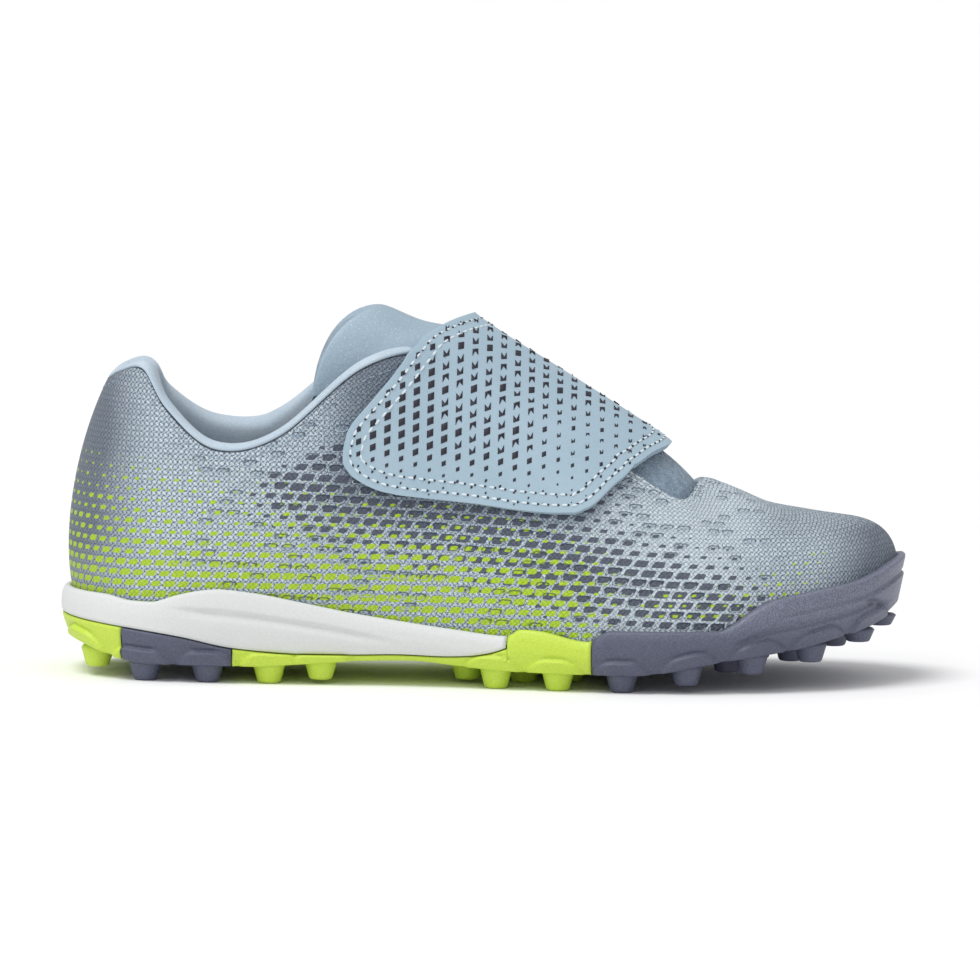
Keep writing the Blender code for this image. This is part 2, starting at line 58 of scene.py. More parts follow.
# %% Camera
scene = bpy.context.scene
FRAME_MM = 243.8       # width of the picture at the shoe, mm
DISTANCE = 5.0         # from the lens to the shoe, m
LOOK_AT = Vector((0.00103, 0.0, 0.0462))
elevation = math.radians(6.0)
eye = bpy.data.cameras.new("camera")
eye.sensor_width = 36.0
eye.lens = eye.sensor_width * DISTANCE / (FRAME_MM / 1000)
eye.clip_end = 60.0
camera = bpy.data.objects.new("camera", eye)
scene.collection.objects.link(camera)
back = Vector((0, -math.cos(elevation), math.sin(elevation)))
camera.location = LOOK_AT + back * DISTANCE
aimed = (-back).to_track_quat("-Z", "Y").to_matrix().to_4x4()
roll = Matrix.Rotation(math.radians(0.834), 4, "Z")
camera.rotation_mode = "QUATERNION"
camera.rotation_quaternion = (aimed @ roll).to_quaternion()
scene.camera = camera
print("lens", round(eye.lens), "mm")

# %% [markdown]
# ## Sizes of the shoe
# The whole shoe follows from a few sizes and four kinds of table. They are in millimetres, as a
# shoemaker would note them, and the meshes are turned into metres when they are made.

# %% Sizes
MM = 0.001

# Driving dimensions, in millimetres.
LENGTH = 210.2        # heel tip to toe tip of the sole
BALL = 80.2           # widest part of the sole
HEIGHT = 91.8         # floor to the top of the tongue
WALL = 1.6            # upper's wall
RIM = 2.0             # rim of the sole that holds the foot of the upper
TOE_IN = 1.2          # how much further in the upper's foot stands than its wall at the rim
GAP = 0.3             # between pieces that lie against one another
STUD = 4.4            # how far a stud stands below the sole
STUD_BASE = 4.3       # radius of a stud where it leaves the sole
STUD_TIP = 3.0        # radius of a stud at its tip
STUD_ROOT = 1.4       # how far a stud runs up into the sole
STRAP = 2.0           # strap thickness
BUMPER_STEP = 0.55    # step in the wall of the toe bumper
INSOLE = 3.2          # insole thickness
LINING = 4.6          # padding of the collar
HALF = LENGTH / 2
LONG = LENGTH / 210.2  # the tables below are drawn for a sole of 210.2 mm,
TALL = HEIGHT / 91.8   # and those of the upper, tongue and strap for a shoe of 91.8 mm
HALF_BALL = BALL / 2
print("sole:", LENGTH, "x", BALL, "mm")

# %% [markdown]
# The outline of the sole is seen from above. It bends towards the big toe, so the two sides have
# columns of their own. A traced curve would do as well, but stations from heel to toe can be
# shared by every piece that follows the sole.

# %% Outline of the sole
# Plan outline of the sole. Each row is one station between the heel tip and the toe tip.
# along: share of half the length from the middle; lateral, medial: shares of half the ball width;
# tuck: how far the bottom edge sits inside the outline, mm.
OUTLINE = {
    "along":   [-1.001, -.982, -.928, -.838, -.686, -.476, -.238, .000,
                .210, .400, .571, .723, .838, .924, .984, 1.003],
    "lateral": [.000, -.262, -.487, -.651, -.733, -.758, -.773, -.843,
                -.953, -1.002, -.943, -.810, -.640, -.410, -.140, .150],
    "medial":  [.000, .269, .494, .653, .718, .683, .638, .688,
                .813, .953, .998, .958, .853, .673, .430, .150],
    "tuck":    [1.7, 1.8, 2.0, 2.0, 2.0, 1.8, 1.8, 1.8, 1.8, 1.8, 2.0, 2.4, 2.6, 2.6, 2.5, 2.4],
}
LAST = len(OUTLINE["along"]) - 1
print("stations:", LAST + 1)

# %% [markdown]
# Seen from the side, the sole lifts at the toe and a little at the heel, and its upper edge is a
# wave. Each line is a short table of heights over the floor. It is easier to read and to correct
# than a curve object with handles.

# %% Heights of the sole
# Heights over the floor, in mm, against the distance from the middle of the shoe, in mm.
# under: bottom of the sole between the studs; rubber: top of the outsole under the midsole;
# bed: floor that the insole lies on; rim: top of the sole's edge.
UNDER = {
    "x": [-105.5, -103, -99, -92, -82, -58, -45, -30, -18, -6, 10, 36,
          44, 52, 60, 72, 80, 88, 95, 99, 102, 105],
    "z": [10.4, 9.2, 7.8, 5.6, 4.4, 4.4, 5.2, 6.2, 6.5, 5.5, 4.6, 4.5,
          5.2, 6.7, 8.1, 9.8, 11.0, 12.9, 14.5, 15.9, 17.4, 19.2],
}
RUBBER = {
    "x": [-105.5, -102, -90, -76, -62, -46, -33, -21, -11, -4, 0, 3, 5.6],
    "z": [14.6, 14.3, 13.2, 11.3, 8.6, 7.5, 7.5, 7.8, 7.6, 7.9, 8.5, 9.3, 10.3],
}
BED = {
    "x": [-105.5, -90, -60, -30, 0, 12, 50, 60, 70, 80, 90, 105],
    "z": [17.4, 16.4, 15.2, 13.6, 11.6, 10.6, 9.6, 10.4, 12.6, 15.0, 17.2, 20.5],
}
RIM_TOP = {
    "x": [-105.5, -95.6, -88, -83, -77, -71, -66, -58, -46, -33, -21, -8, 5.2, 9,
          13, 25.6, 27.4, 31, 58, 62, 67, 72, 83, 94, 99, 103, 105],
    "z": [21.3, 21.2, 20.0, 19.9, 21.6, 23.0, 23.5, 22.8, 20.7, 18.2, 16.4, 14.7, 13.4, 15.2,
          15.0, 12.7, 13.8, 15.5, 15.7, 17.2, 20.4, 22.8, 25.0, 26.8, 28.4, 30.3, 31.2],
}
print("rim at the toe:", RIM_TOP["z"][-1], "mm")

# %% [markdown]
# The upper is made of curved columns, one at each station on each side, from the sole to the edge
# of the opening. Four numbers shape a column: how far it leans out at its foot, how high it goes
# straight up, and how it comes to its upper edge from the side and from below.

# %% Walls of the upper
# Upper, one row per station of the outline, for the lateral and then the medial side.
# edge_x, edge_y, edge_z: its upper edge, mm: collar, throat, then the ridge of the vamp;
# out, rise: how the wall leaves the sole; swell, fall: how it comes to its upper edge, mm.
LATERAL = {
    "edge_x": [-94.4, -91.4, -85.6, -79.5, -67.5, -51.5, -30.5, -12.0,
               12.0, 35.0, 48.5, 54.6, 67.0, 79.0, 87.0, 90.2],
    "edge_y": [0.0, -8.6, -15.4, -19.6, -23.0, -24.2, -22.2, -17.4,
               -16.0, -16.8, -17.6, 2.0, 3.4, 4.6, 5.4, 5.6],
    "edge_z": [72.8, 75.2, 76.3, 66.8, 57.4, 60.8, 78.2, 80.6,
               67.6, 54.0, 46.4, 50.0, 44.8, 42.4, 41.2, 40.8],
    "out":    [4.4, 4.0, 3.4, 2.8, 2.6, 2.2, 2.0, 2.0, 2.0, 2.0, 2.2, 2.4, 2.4, 2.4, 2.8, 2.8],
    "rise":   [14, 14, 14, 14, 14, 15, 18, 20, 19, 16, 15, 15, 14, 13, 13, 12.7],
    "swell":  [8.2, 7.4, 5.6, 3.4, 2.4, 2.8, 3.8, 7.6, 10.6, 11.0, 10.0, 22.0, 20.0, 15.0, 12.0, 11.0],
    "fall":   [17, 17, 17, 14, 12, 14, 20, 18, 14, 10.6, 7.0, 4.0, 2.8, 1.8, 1.4, 1.3],
}
MEDIAL = {
    "edge_x": LATERAL["edge_x"],
    "edge_y": [0.0, 8.6, 15.4, 19.6, 22.6, 23.4, 21.4, 18.4, 18.0, 19.6, 20.0, 2.0, 3.4, 4.6, 5.4, 5.6],
    "edge_z": [72.8, 74.6, 74.8, 67.0, 60.0, 61.6, 78.0, 81.4,
               69.4, 55.0, 46.8, 50.0, 44.8, 42.4, 41.2, 40.8],
    "out":    [4.4, 4.0, 3.4, 2.6, 1.6, 0.6, 0.2, 0.6, 1.6, 2.2, 2.4, 2.4, 2.4, 2.4, 2.8, 2.8],
    "rise":   [14, 14, 14, 14, 15, 17, 20, 21, 19, 16, 15, 15, 14, 13, 13, 12.7],
    "swell":  [8.2, 7.4, 5.6, 3.4, 2.6, 3.2, 4.8, 8.0, 10.4, 11.0, 10.0, 20.0, 18.0, 14.0, 12.0, 11.0],
    "fall":   [17, 17, 16, 14, 12, 14, 20, 18, 14, 10.6, 7.0, 4.0, 2.8, 1.8, 1.4, 1.3],
}

# Middle line of the instep over the open throat, mm, for the stations that the throat spans.
CROWN = {
    "station": [6.0, 6.6, 6.82, 7.0, 7.4, 8.0, 8.6, 9.0, 9.4, 9.8, 10.3, 11.0],
    "x": [-18.0, -9.4, -6.2, -3.0, 4.0, 16.0, 28.0, 36.0, 42.0, 45.6, 50.0, 54.6],
    "z": [87.4, 89.0, 89.4, 87.2, 82.6, 75.4, 68.0, 63.0, 59.2, 56.4, 53.0, 50.0],
}
print("highest point of the collar:", max(LATERAL["edge_z"]), "mm")

# %% [markdown]
# A smooth curve through a table must not swing past its values, or a flat sole would get a dent.
# So the slopes are harmonic means of their neighbours. A spline that may swing would be shorter
# to write, but it rings beside every sharp change.

# %% Curves through a table
def curve(table, column, at, key="x"):
    """Smooth curve through one column of a table, without overshoot."""
    xs = np.asarray(table[key], float)
    ys = np.asarray(table[column], float)
    step = np.diff(xs)
    slope = np.diff(ys) / step
    tangent = np.zeros(len(xs))
    same = slope[:-1] * slope[1:] > 0
    a, b = slope[:-1][same], slope[1:][same]
    tangent[1:-1][same] = 2 * a * b / (a + b)
    tangent[0], tangent[-1] = slope[0], slope[-1]
    at = min(max(at, xs[0]), xs[-1])
    i = min(int(np.searchsorted(xs, at, side="right")) - 1, len(step) - 1)
    t = (at - xs[i]) / step[i]
    return ((2 * t**3 - 3 * t**2 + 1) * ys[i] + (t**3 - 2 * t**2 + t) * step[i] * tangent[i]
            + (3 * t**2 - 2 * t**3) * ys[i + 1] + (t**3 - t**2) * step[i] * tangent[i + 1])


def height(table, x):
    return curve(table, "z", x / LONG)


print("underside at the toe:", round(height(UNDER, 100.0), 1), "mm")

# %% [markdown]
# The outline has to close smoothly at the heel tip and at the toe tip. A Catmull-Rom spline round
# the whole ring, down one side and back up the other, does that without any special case. The
# inward direction lets a piece be set back from the edge by the same amount all round.

# %% The outline as a closed ring
def ring_value(lateral, medial, station, side):
    """Value at a station on one side, from a closed ring: heel, lateral side, toe, medial side."""
    ring = list(lateral) + list(medial[-2:0:-1])
    count = len(ring)
    at = station if side < 0 else count - station
    i = math.floor(at)
    t = at - i
    a, b, c, d = (ring[(i + k) % count] for k in (-1, 0, 1, 2))
    return b + 0.5 * t * (c - a + t * (2 * a - 5 * b + 4 * c - d + t * (3 * (b - c) + d - a)))


def outline(station, side):
    along = OUTLINE["along"]
    x = HALF * ring_value(along, along, station, side)
    y = HALF_BALL * ring_value(OUTLINE["lateral"], OUTLINE["medial"], station, side)
    return np.array((x, y))


def inward(station, side):
    """Unit normal of the outline in plan, pointing into the shoe."""
    d = 0.02
    if station < d or station > LAST - d:
        return np.array((1.0 if station < d else -1.0, 0.0))
    t = outline(station + d, side) - outline(station - d, side)
    n = np.array((-t[1], t[0])) * (-side)
    return n / np.linalg.norm(n)


def station_at(x, side=-1):
    """Station whose outline point lies at this distance from the middle."""
    low, high = 0.0, float(LAST)
    for _ in range(40):
        mid = (low + high) / 2
        if outline(mid, side)[0] < x:
            low = mid
        else:
            high = mid
    return low


print("station at the ball:", round(station_at(42.0), 2))

# %% [markdown]
# The outer surface of the upper is found for any station, side and height share. The same surface
# then carries the cloth, the lining, the tongue, the strap and the seams, so they all fit without
# measuring one mesh against another. Above the open throat it runs on over the instep, where the
# strap lies.

# %% Columns and the surface
def column(station, side):
    """Four control points of the upper's wall at a station."""
    rows = {key: ring_value(LATERAL[key], MEDIAL[key], station, side) for key in LATERAL}
    inset = inward(station, side)
    foot = outline(station, side) + inset * (RIM + GAP + TOE_IN)
    bed = height(BED, foot[0]) + GAP
    p0 = np.array((foot[0], foot[1], bed))
    p3 = np.array((rows["edge_x"] * LONG, rows["edge_y"], rows["edge_z"] * TALL))
    away = foot - p3[:2]
    away = away / np.linalg.norm(away)
    p1 = p0 + np.array((-inset[0] * rows["out"], -inset[1] * rows["out"], rows["rise"]))
    p2 = p3 + np.array((away[0] * rows["swell"], away[1] * rows["swell"], -rows["fall"]))
    return p0, p1, p2, p3


def bezier(points, t):
    a, b, c, d = points
    u = 1 - t
    return u**3 * a + 3 * u * u * t * b + 3 * u * t * t * c + t**3 * d


def shell(station, side, v):
    """Outer surface. v runs from 0 at the sole to 1 at the upper's edge, and to 2 at the crown."""
    points = column(station, side)
    if v <= 1:
        return bezier(points, v)
    edge = points[3]
    leave = edge - points[2]
    leave = leave / np.linalg.norm(leave)
    at = min(max(station, CROWN["station"][0]), CROWN["station"][-1])
    crown_x, crown_z = curve(CROWN, "x", at, "station"), curve(CROWN, "z", at, "station")
    crown = np.array((crown_x * LONG, 1.5, crown_z * TALL))
    reach = np.linalg.norm(crown - edge)
    bridge = (edge, edge + leave * reach * 0.32, crown + np.array((0, side * reach * 0.32, 0)), crown)
    return bezier(bridge, v - 1)


print("crown over station 8:", np.round(shell(8, -1, 2.0), 1), "mm")

# %% [markdown]
# The outward direction of the surface comes from two short steps on it, one along the shoe and
# one up the wall. At the heel tip and the toe tip the two sides meet, so the step along is taken
# straight across. Points that are asked for again and again are kept in a cache.

# %% Outward direction of the surface
def facing(station, side, v):
    """Unit normal of the outer surface, pointing out of the shoe."""
    d = 0.01
    low, high = max(station - d, 0.0), min(station + d, float(LAST))
    if v > 1:
        low, high = max(station - d, 6.0), min(station + d, 11.0)
    along = shell(high, side, v) - shell(low, side, v)
    if station <= d or station >= LAST - d:
        along = np.array((0, side if station <= d else -side, 0), float)
    top = 2.0 if v > 1 else 1.0
    up = shell(station, side, min(v + d, top)) - shell(station, side, max(v - d, 0 if v <= 1 else 1))
    n = np.cross(along, up) * (-side)
    n = n / np.linalg.norm(n)
    centre = np.array((min(max(shell(station, side, v)[0], -HALF * 0.67), HALF * 0.67), 0, 20))
    return n if np.dot(n, shell(station, side, v) - centre) > 0 else -n


def offset(station, side, v, distance):
    return shell(station, side, v) + facing(station, side, v) * distance


column = functools.lru_cache(maxsize=None)(column)
print("upper's edge at the heel:", np.round(shell(0, -1, 1.0), 1), "mm")

# %% [markdown]
# ## Meshes from rows of points
# Most pieces are lofts: rows of points that are joined to their neighbours, as planks are on a
# hull. A surface may carry a flat map in millimetres and painted values, such as how large the
# print is. Doubles are merged and the faces are turned outwards at the end, since a pole or a
# seam would otherwise stay open.

# %% Rows of points to a mesh
def piece_of(name, mesh, *looks):
    thing = bpy.data.objects.new(name, mesh)
    for look in looks:
        mesh.materials.append(look)
    scene.collection.objects.link(thing)
    for face in mesh.polygons:
        face.use_smooth = True
    return thing


def mesh_of(name, rows, look, flat=None, painted=None, around=False, caps=False):
    """Mesh through rows of points in mm. flat holds a (u, v) in mm for each point."""
    rows = np.asarray(rows, float)
    count, across = rows.shape[:2]
    verts = [tuple(p) for p in (rows.reshape(-1, 3) * MM)]
    faces = []
    for i in range(count - 1):
        for k in range(across if around else across - 1):
            j = (k + 1) % across
            faces.append((i * across + k, i * across + j, (i + 1) * across + j, (i + 1) * across + k))
    if caps:
        faces += [tuple(range(across)), tuple(range((count - 1) * across, count * across))]
    mesh = bpy.data.meshes.new(name)
    mesh.from_pydata(verts, [], faces)
    if flat is not None:
        layer = mesh.uv_layers.new(name="flat")
        where = np.asarray(flat, float).reshape(-1, 2)
        index = np.empty(len(mesh.loops), np.int32)
        mesh.loops.foreach_get("vertex_index", index)
        layer.data.foreach_set("uv", (where[index] * 0.01).ravel().astype(np.float32))
    for key, values in (painted or {}).items():
        spot = mesh.attributes.new(key, "FLOAT", "POINT")
        spot.data.foreach_set("value", np.asarray(values, np.float32).ravel())
    form = bmesh.new()
    form.from_mesh(mesh)
    bmesh.ops.remove_doubles(form, verts=form.verts, dist=0.004 * MM)
    bmesh.ops.dissolve_degenerate(form, edges=form.edges, dist=0.001 * MM)
    bmesh.ops.recalc_face_normals(form, faces=form.faces)
    form.to_mesh(mesh)
    form.free()
    return piece_of(name, mesh, look)

# %% [markdown]
# ## Finishes
# A finish is a small network of nodes. Written out in full it takes many lines, so this class
# writes a node in one line: a number fills an input and a socket is linked to it.

# %% A short way to write nodes
class Wiring:
    """Writes nodes into self.tree."""

    def node(self, kind, *inputs, out=0, **settings):
        made = self.tree.nodes.new(kind)
        for key, value in settings.items():
            setattr(made, key, value)
        for slot, value in enumerate(inputs):
            if value is not None:
                self.fill(made.inputs[slot], value)
        return made.outputs[out]

    def fill(self, socket, value):
        if isinstance(value, bpy.types.NodeSocket):
            self.tree.links.new(value, socket)
        else:
            socket.default_value = value

    def math(self, operation, *inputs):
        return self.node("ShaderNodeMath", *inputs, operation=operation)

    def mix(self, share, one, two):
        made = self.tree.nodes.new("ShaderNodeMix")
        made.data_type = "RGBA"
        self.fill(made.inputs[0], share)
        for slot, value in ((6, one), (7, two)):
            self.fill(made.inputs[slot], with_alpha(value))
        return made.outputs[2]

    def step(self, value, low, high):
        made = self.tree.nodes.new("ShaderNodeMapRange")
        made.interpolation_type = "SMOOTHSTEP"
        for slot, v in enumerate((value, low, high, 0.0, 1.0)):
            self.fill(made.inputs[slot], v)
        return made.outputs[0]

    def vector(self, x, y, z=0.0):
        return self.node("ShaderNodeCombineXYZ", x, y, z)

    def split(self, vector):
        parts = self.tree.nodes.new("ShaderNodeSeparateXYZ")
        self.fill(parts.inputs[0], vector)
        return parts.outputs


def with_alpha(colour):
    return colour if isinstance(colour, bpy.types.NodeSocket) else (*colour, 1)

# %% [markdown]
# A finish reads where it is in one of three ways: from its object's own coordinates, which suits
# rubber and foam; from a flat map that follows the cloth; or from values painted on the mesh. It
# ends in a Principled shader, and bump gives the relief that is too fine for faces.

# %% What a finish reads and sets
class Finish(Wiring):
    def __init__(self, name, roughness, specular=0.4, sheen=0.0):
        self.material = bpy.data.materials.new(name)
        self.material.use_nodes = True
        self.tree = self.material.node_tree
        self.shader = self.tree.nodes["Principled BSDF"]
        self.shader.inputs["Roughness"].default_value = roughness
        self.shader.inputs["Specular IOR Level"].default_value = specular
        self.shader.inputs["Sheen Weight"].default_value = sheen

    def flat(self):
        """The piece's own flat map, in mm."""
        parts = self.split(self.node("ShaderNodeUVMap", uv_map="flat"))
        return self.math("MULTIPLY", parts[0], 100.0), self.math("MULTIPLY", parts[1], 100.0)

    def place(self):
        """Object coordinates, in metres."""
        return self.node("ShaderNodeTexCoord", out=3)

    def noise(self, where, scale, detail=2.0, rough=0.5):
        made = self.tree.nodes.new("ShaderNodeTexNoise")
        self.fill(made.inputs["Vector"], where)
        made.inputs["Scale"].default_value = scale
        made.inputs["Detail"].default_value = detail
        made.inputs["Roughness"].default_value = rough
        return made.outputs[0]

    def painted(self, name):
        return self.node("ShaderNodeAttribute", attribute_name=name, out=2)

    def colour(self, value):
        self.fill(self.shader.inputs["Base Color"], with_alpha(value))

    def roughness(self, value):
        self.fill(self.shader.inputs["Roughness"], value)

    def bump(self, height, depth_mm, under=None):
        made = self.tree.nodes.new("ShaderNodeBump")
        made.inputs["Strength"].default_value = 1.0
        made.inputs["Distance"].default_value = depth_mm * MM
        self.fill(made.inputs["Height"], height)
        if under is not None:
            self.fill(made.inputs["Normal"], under)
        return made.outputs[0]

    def normal(self, value):
        self.fill(self.shader.inputs["Normal"], value)


def ink(red, green, blue):
    """A colour as seen on the real shoe, 0 to 255, made linear."""
    shares = [c / 255 for c in (red, green, blue)]
    return tuple(c / 12.92 if c < 0.04 else ((c + 0.055) / 1.055) ** 2.4 for c in shares)


print("a mid blue in linear light:", [round(c, 3) for c in ink(155, 173, 187)])

# %% [markdown]
# ## The sole
# The outsole is moulded rubber and the midsole is foam. Both are matt with a fine speckle and no
# pattern, so noise on the object's own coordinates is enough. The upper part of the toe bumper
# gets a paler painted highlight, broken up by the speckle. An image would show the same speckle,
# but noise never runs out of detail.

# %% Rubber and foam
def rubber(name, dark, light, roughness, grain, depth, toe_highlight=None):
    """Moulded rubber or foam: a fine matt speckle with a soft shine."""
    soft = Finish(name, roughness, specular=0.45)
    where = soft.place()
    speckle = soft.noise(where, grain, 2.0, 0.75)
    cloud = soft.noise(where, 45.0, 2.0)
    grainy = soft.math("MULTIPLY", soft.step(speckle, 0.30, 0.72), 0.6)
    colour = soft.mix(soft.math("ADD", grainy, soft.math("MULTIPLY", cloud, 0.4)), dark, light)
    # painted highlight: the upper part of the toe bumper is mixed towards a paler colour, broken up by the
    # speckle
    if toe_highlight:
        parts = soft.split(where)
        toe = soft.math("MULTIPLY", soft.step(parts[0], 0.026, 0.046), soft.step(parts[2], 0.011, 0.022))
        speckled_highlight = soft.math("MULTIPLY", soft.step(speckle, 0.40, 0.62), 0.45)
        colour = soft.mix(soft.math("MULTIPLY", toe, soft.math("ADD", 0.20, speckled_highlight)), colour, toe_highlight)
    soft.colour(colour)
    soft.roughness(soft.math("ADD", roughness - 0.08, soft.math("MULTIPLY", speckle, 0.2)))
    soft.normal(soft.bump(speckle, depth))
    return soft.material


LIME_LOOK = rubber("lime_rubber", ink(180, 206, 48), ink(204, 228, 92), 0.45, 2600.0, 0.015)
# the slate rubber carries the painted highlight of the toe bumper
SLATE_LOOK = rubber("slate_rubber", ink(64, 68, 86), ink(100, 104, 124), 0.46, 2800.0, 0.03,
                    toe_highlight=ink(140, 144, 162))
FOAM_LOOK = rubber("white_foam", ink(208, 210, 210), ink(219, 221, 220), 0.6, 2000.0, 0.01)
print("sole finishes:", LIME_LOOK.name, SLATE_LOOK.name, FOAM_LOOK.name)

# %% [markdown]
# Twelve studs follow each edge of the sole. Their places are needed before the wall is made,
# because the wall swells into a small arch over each of them.

# %% Studs along the edge
EDGE_ROW = (-100.6, -85.4, -68.7, -53.2, -40.3, 2.2, 17.4, 33.8, 51.0, 68.2, 83.9, 97.5)
STUD_MARGIN = 1.4     # between a stud's base and the sole's edge


def edge_studs(side):
    made = []
    for x in EDGE_ROW:
        s = station_at(x * LONG, side)
        p = outline(s, side) + inward(s, side) * (STUD_BASE + STUD_MARGIN)
        made.append((float(p[0]), float(p[1])))
    return made


EDGE = {side: edge_studs(side) for side in (-1, 1)}
print("edge studs a side:", len(EDGE[-1]))

# %% [markdown]
# The wall of the sole leans in towards the floor and is rounded at its top. On the toe bumper it
# has a step with a groove under it, and on the outer side a lower step and one slanting slit. All
# of this could be cut with booleans, but a wall that is a function of place and height stays
# smooth and closed.

# %% Wall of the sole
def ease(value, low, high):
    """0 below low, 1 above high, smooth between."""
    t = np.clip((np.asarray(value, float) - low) / (high - low), 0, 1)
    return t * t * (3 - 2 * t)


def ramp(value, low, high):
    return min(max((value - low) / (high - low), 0), 1)


def bumper_relief(x, side, share, above):
    """Step, groove and slit of the toe bumper, mm. above: mm over the wall's lower edge."""
    toe = ramp(x / HALF, 0.67, 0.75)
    depth = BUMPER_STEP * toe * float(ease(share, 0.66, 0.70))
    depth += 0.8 * toe * math.exp(-((share - 0.66) / 0.035) ** 2)
    if side < 0:
        band = float(ease(x, 60, 66)) * float(1 - ease(x, 96, 101))
        depth += 0.8 * band * float(ease(share, 0.37, 0.42)) * float(1 - ease(share, 0.42, 0.60))
        slit = abs((x - 97.5) + 1.3 * (above - 6.0)) / 1.9
        ends = float(ease(share, 0.20, 0.30)) * float(1 - ease(share, 0.54, 0.62))
        depth += 1.0 * math.exp(-(slit * 1.6) ** 2) * ends
    return depth


def wall_inset(station, side, z):
    """How far the wall lies inside the outline, mm, at a height."""
    x = outline(station, side)[0]
    low, high = height(UNDER, x), height(RIM_TOP, x)
    share = ramp(z, low, high)
    tuck = ring_value(OUTLINE["tuck"], OUTLINE["tuck"], station, side)
    inset = tuck * max(0, 1 - share / 0.55) ** 1.6 + 0.9 * max(0, (share - 0.7) / 0.3) ** 2
    lean = ramp(x / HALF, 0.76, 0.97)
    inset = (1 - lean) * inset + lean * tuck * (1 - share)
    return inset + bumper_relief(x, side, share, z - low)


print("wall inside the outline at mid height:", round(wall_inset(8, -1, 9.0), 2), "mm")

# %% [markdown]
# Over each edge stud the rubber swells into a low arch with a fine line round it, as if the stud
# grew out of the wall. The arch is part of the wall's own function, so it needs no extra faces
# and no joint.

# %% Arches over the edge studs
ARCH_WIDE, ARCH_HIGH = 6.3, 3.7      # half width and height of an arch, mm
ARCH_PROUD, ARCH_LINE = 1.2, 0.35    # how far it stands out, and the line's depth, mm


def arches(p, z, side, low):
    """How far the wall stands out for the arch that reaches this place, mm."""
    proud = None
    for x, y in EDGE[side]:
        d = math.hypot(p[0] - x, p[1] - y)
        if d > 14:
            continue
        reach = math.sqrt(max(d * d - (STUD_BASE + STUD_MARGIN) ** 2, 0))
        r = math.hypot(reach / ARCH_WIDE, max(z - low, 0) / ARCH_HIGH)
        line = ARCH_LINE * math.exp(-((r - 1.07) / 0.08) ** 2)
        here = ARCH_PROUD * float(1 - ease(r, 0.78, 1.0)) - line
        proud = here if proud is None else max(proud, here)
    return proud or 0.0


def wall_point(station, side, z, plain=False):
    edge = outline(station, side)
    inner = inward(station, side)
    p = edge + inner * wall_inset(station, side, z)
    if not plain:
        p = p - inner * arches(p, z, side, height(UNDER, edge[0]))
    return np.array((p[0], p[1], z))


print("wall over the first stud:", np.round(wall_point(station_at(-85.4), -1, 6.0), 1), "mm")

# %% [markdown]
# The rim of the sole is a cup that holds the foot of the upper. Its inner side keeps a small gap
# from the upper, so its points are looked up on the upper's own surface by halving the interval
# until the height fits.

# %% Inner side of the rim
def cup(station, side, top):
    """Inner side of the rim, from its top down to the bed, a gap away from the upper."""
    points = []
    foot = shell(station, side, 0)
    clear = inward(station, side) * (GAP + 0.05)
    for share in (1, .66, .33):
        z = foot[2] + (top - foot[2]) * share
        low, high = 0.0, 0.6
        for _ in range(18):
            mid = (low + high) / 2
            low, high = (mid, high) if shell(station, side, mid)[2] < z else (low, mid)
        p = shell(station, side, low)
        p[:2] -= clear
        points.append(p)
    foot[:2] -= clear
    foot[2] -= GAP
    return points + [foot]


print("rim to bed at the heel:", round(height(RIM_TOP, -95) - height(BED, -95), 1), "mm")

# %% [markdown]
# A block of the outsole is a row of closed sections: up the outer wall, over the rim, down into
# the cup and across to the other side. Under the foam the block is flat on top instead. The
# heights lie closer together at the edges, so that they round off softly.

# %% Sections of the outsole
def both(profile, station):
    return profile(station, -1) + profile(station, 1)[::-1]


def spread(x0, x1, step):
    """Stations between two places along the shoe, about step mm apart round the outline."""
    s0 = 0.0 if x0 <= -HALF else station_at(x0)
    s1 = float(LAST) if x1 >= HALF else station_at(x1)
    way = [outline(s, -1) for s in np.linspace(s0, s1, 60)]
    length = sum(np.linalg.norm(b - a) for a, b in zip(way[:-1], way[1:]))
    return list(np.linspace(s0, s1, max(int(length / step), 8)))


def rounded(low, high, count, soft):
    """Heights of a wall with a small round at its top and bottom."""
    middle = list(np.linspace(low + soft, high - soft, count))
    return [low, low + soft * 0.3] + middle + [high - soft * 0.3, high]


def drawn_in(z, low, high, most, less):
    """How far the wall draws in at its two edges, mm."""
    if z in (low, high):
        return most
    return less if min(abs(z - low), abs(z - high)) < 0.3 else 0.0


def tread_block(station, side, lifted):
    x = outline(station, side)[0]
    low = height(UNDER, x)
    high = height(RIM_TOP, x) if lifted else height(RUBBER, x)
    wall = []
    for z in rounded(low, high, 30, 0.6):
        p = wall_point(station, side, z)
        p[:2] += inward(station, side) * drawn_in(z, low, high, 0.35, 0.1)
        wall.append(p)
    if lifted:
        return wall + cup(station, side, high - 0.1)
    inset = outline(station, side) + inward(station, side) * 3
    return wall + [np.array((inset[0], inset[1], high))] * 4


print("points in a section:", len(both(lambda s, d: tread_block(s, d, True), 12.0)))

# %% [markdown]
# The rubber comes in four blocks of two colours. The middle one changes its section where the
# foam ends and its own rim begins. `keep` says for every piece which body it moves with and which
# solid it stands for.

# %% Blocks of the outsole
def keep(thing, node):
    """The piece belongs to the shoe's one body and stands for that solid."""
    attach(thing, "root")
    if node:
        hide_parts(node)
    return thing


TIP_JOINT, HEEL_JOINT = -0.856 * HALF, -0.593 * HALF
FOAM_END, FRONT_JOINT = 0.052 * HALF, 0.253 * HALF
STEP = 0.8            # between two sections, mm


def block(name, x0, x1, look, lifted):
    rows = [both(lambda s, d: tread_block(s, d, lifted), s) for s in spread(x0, x1, STEP)]
    return mesh_of(name, rows, look, around=True, caps=True)


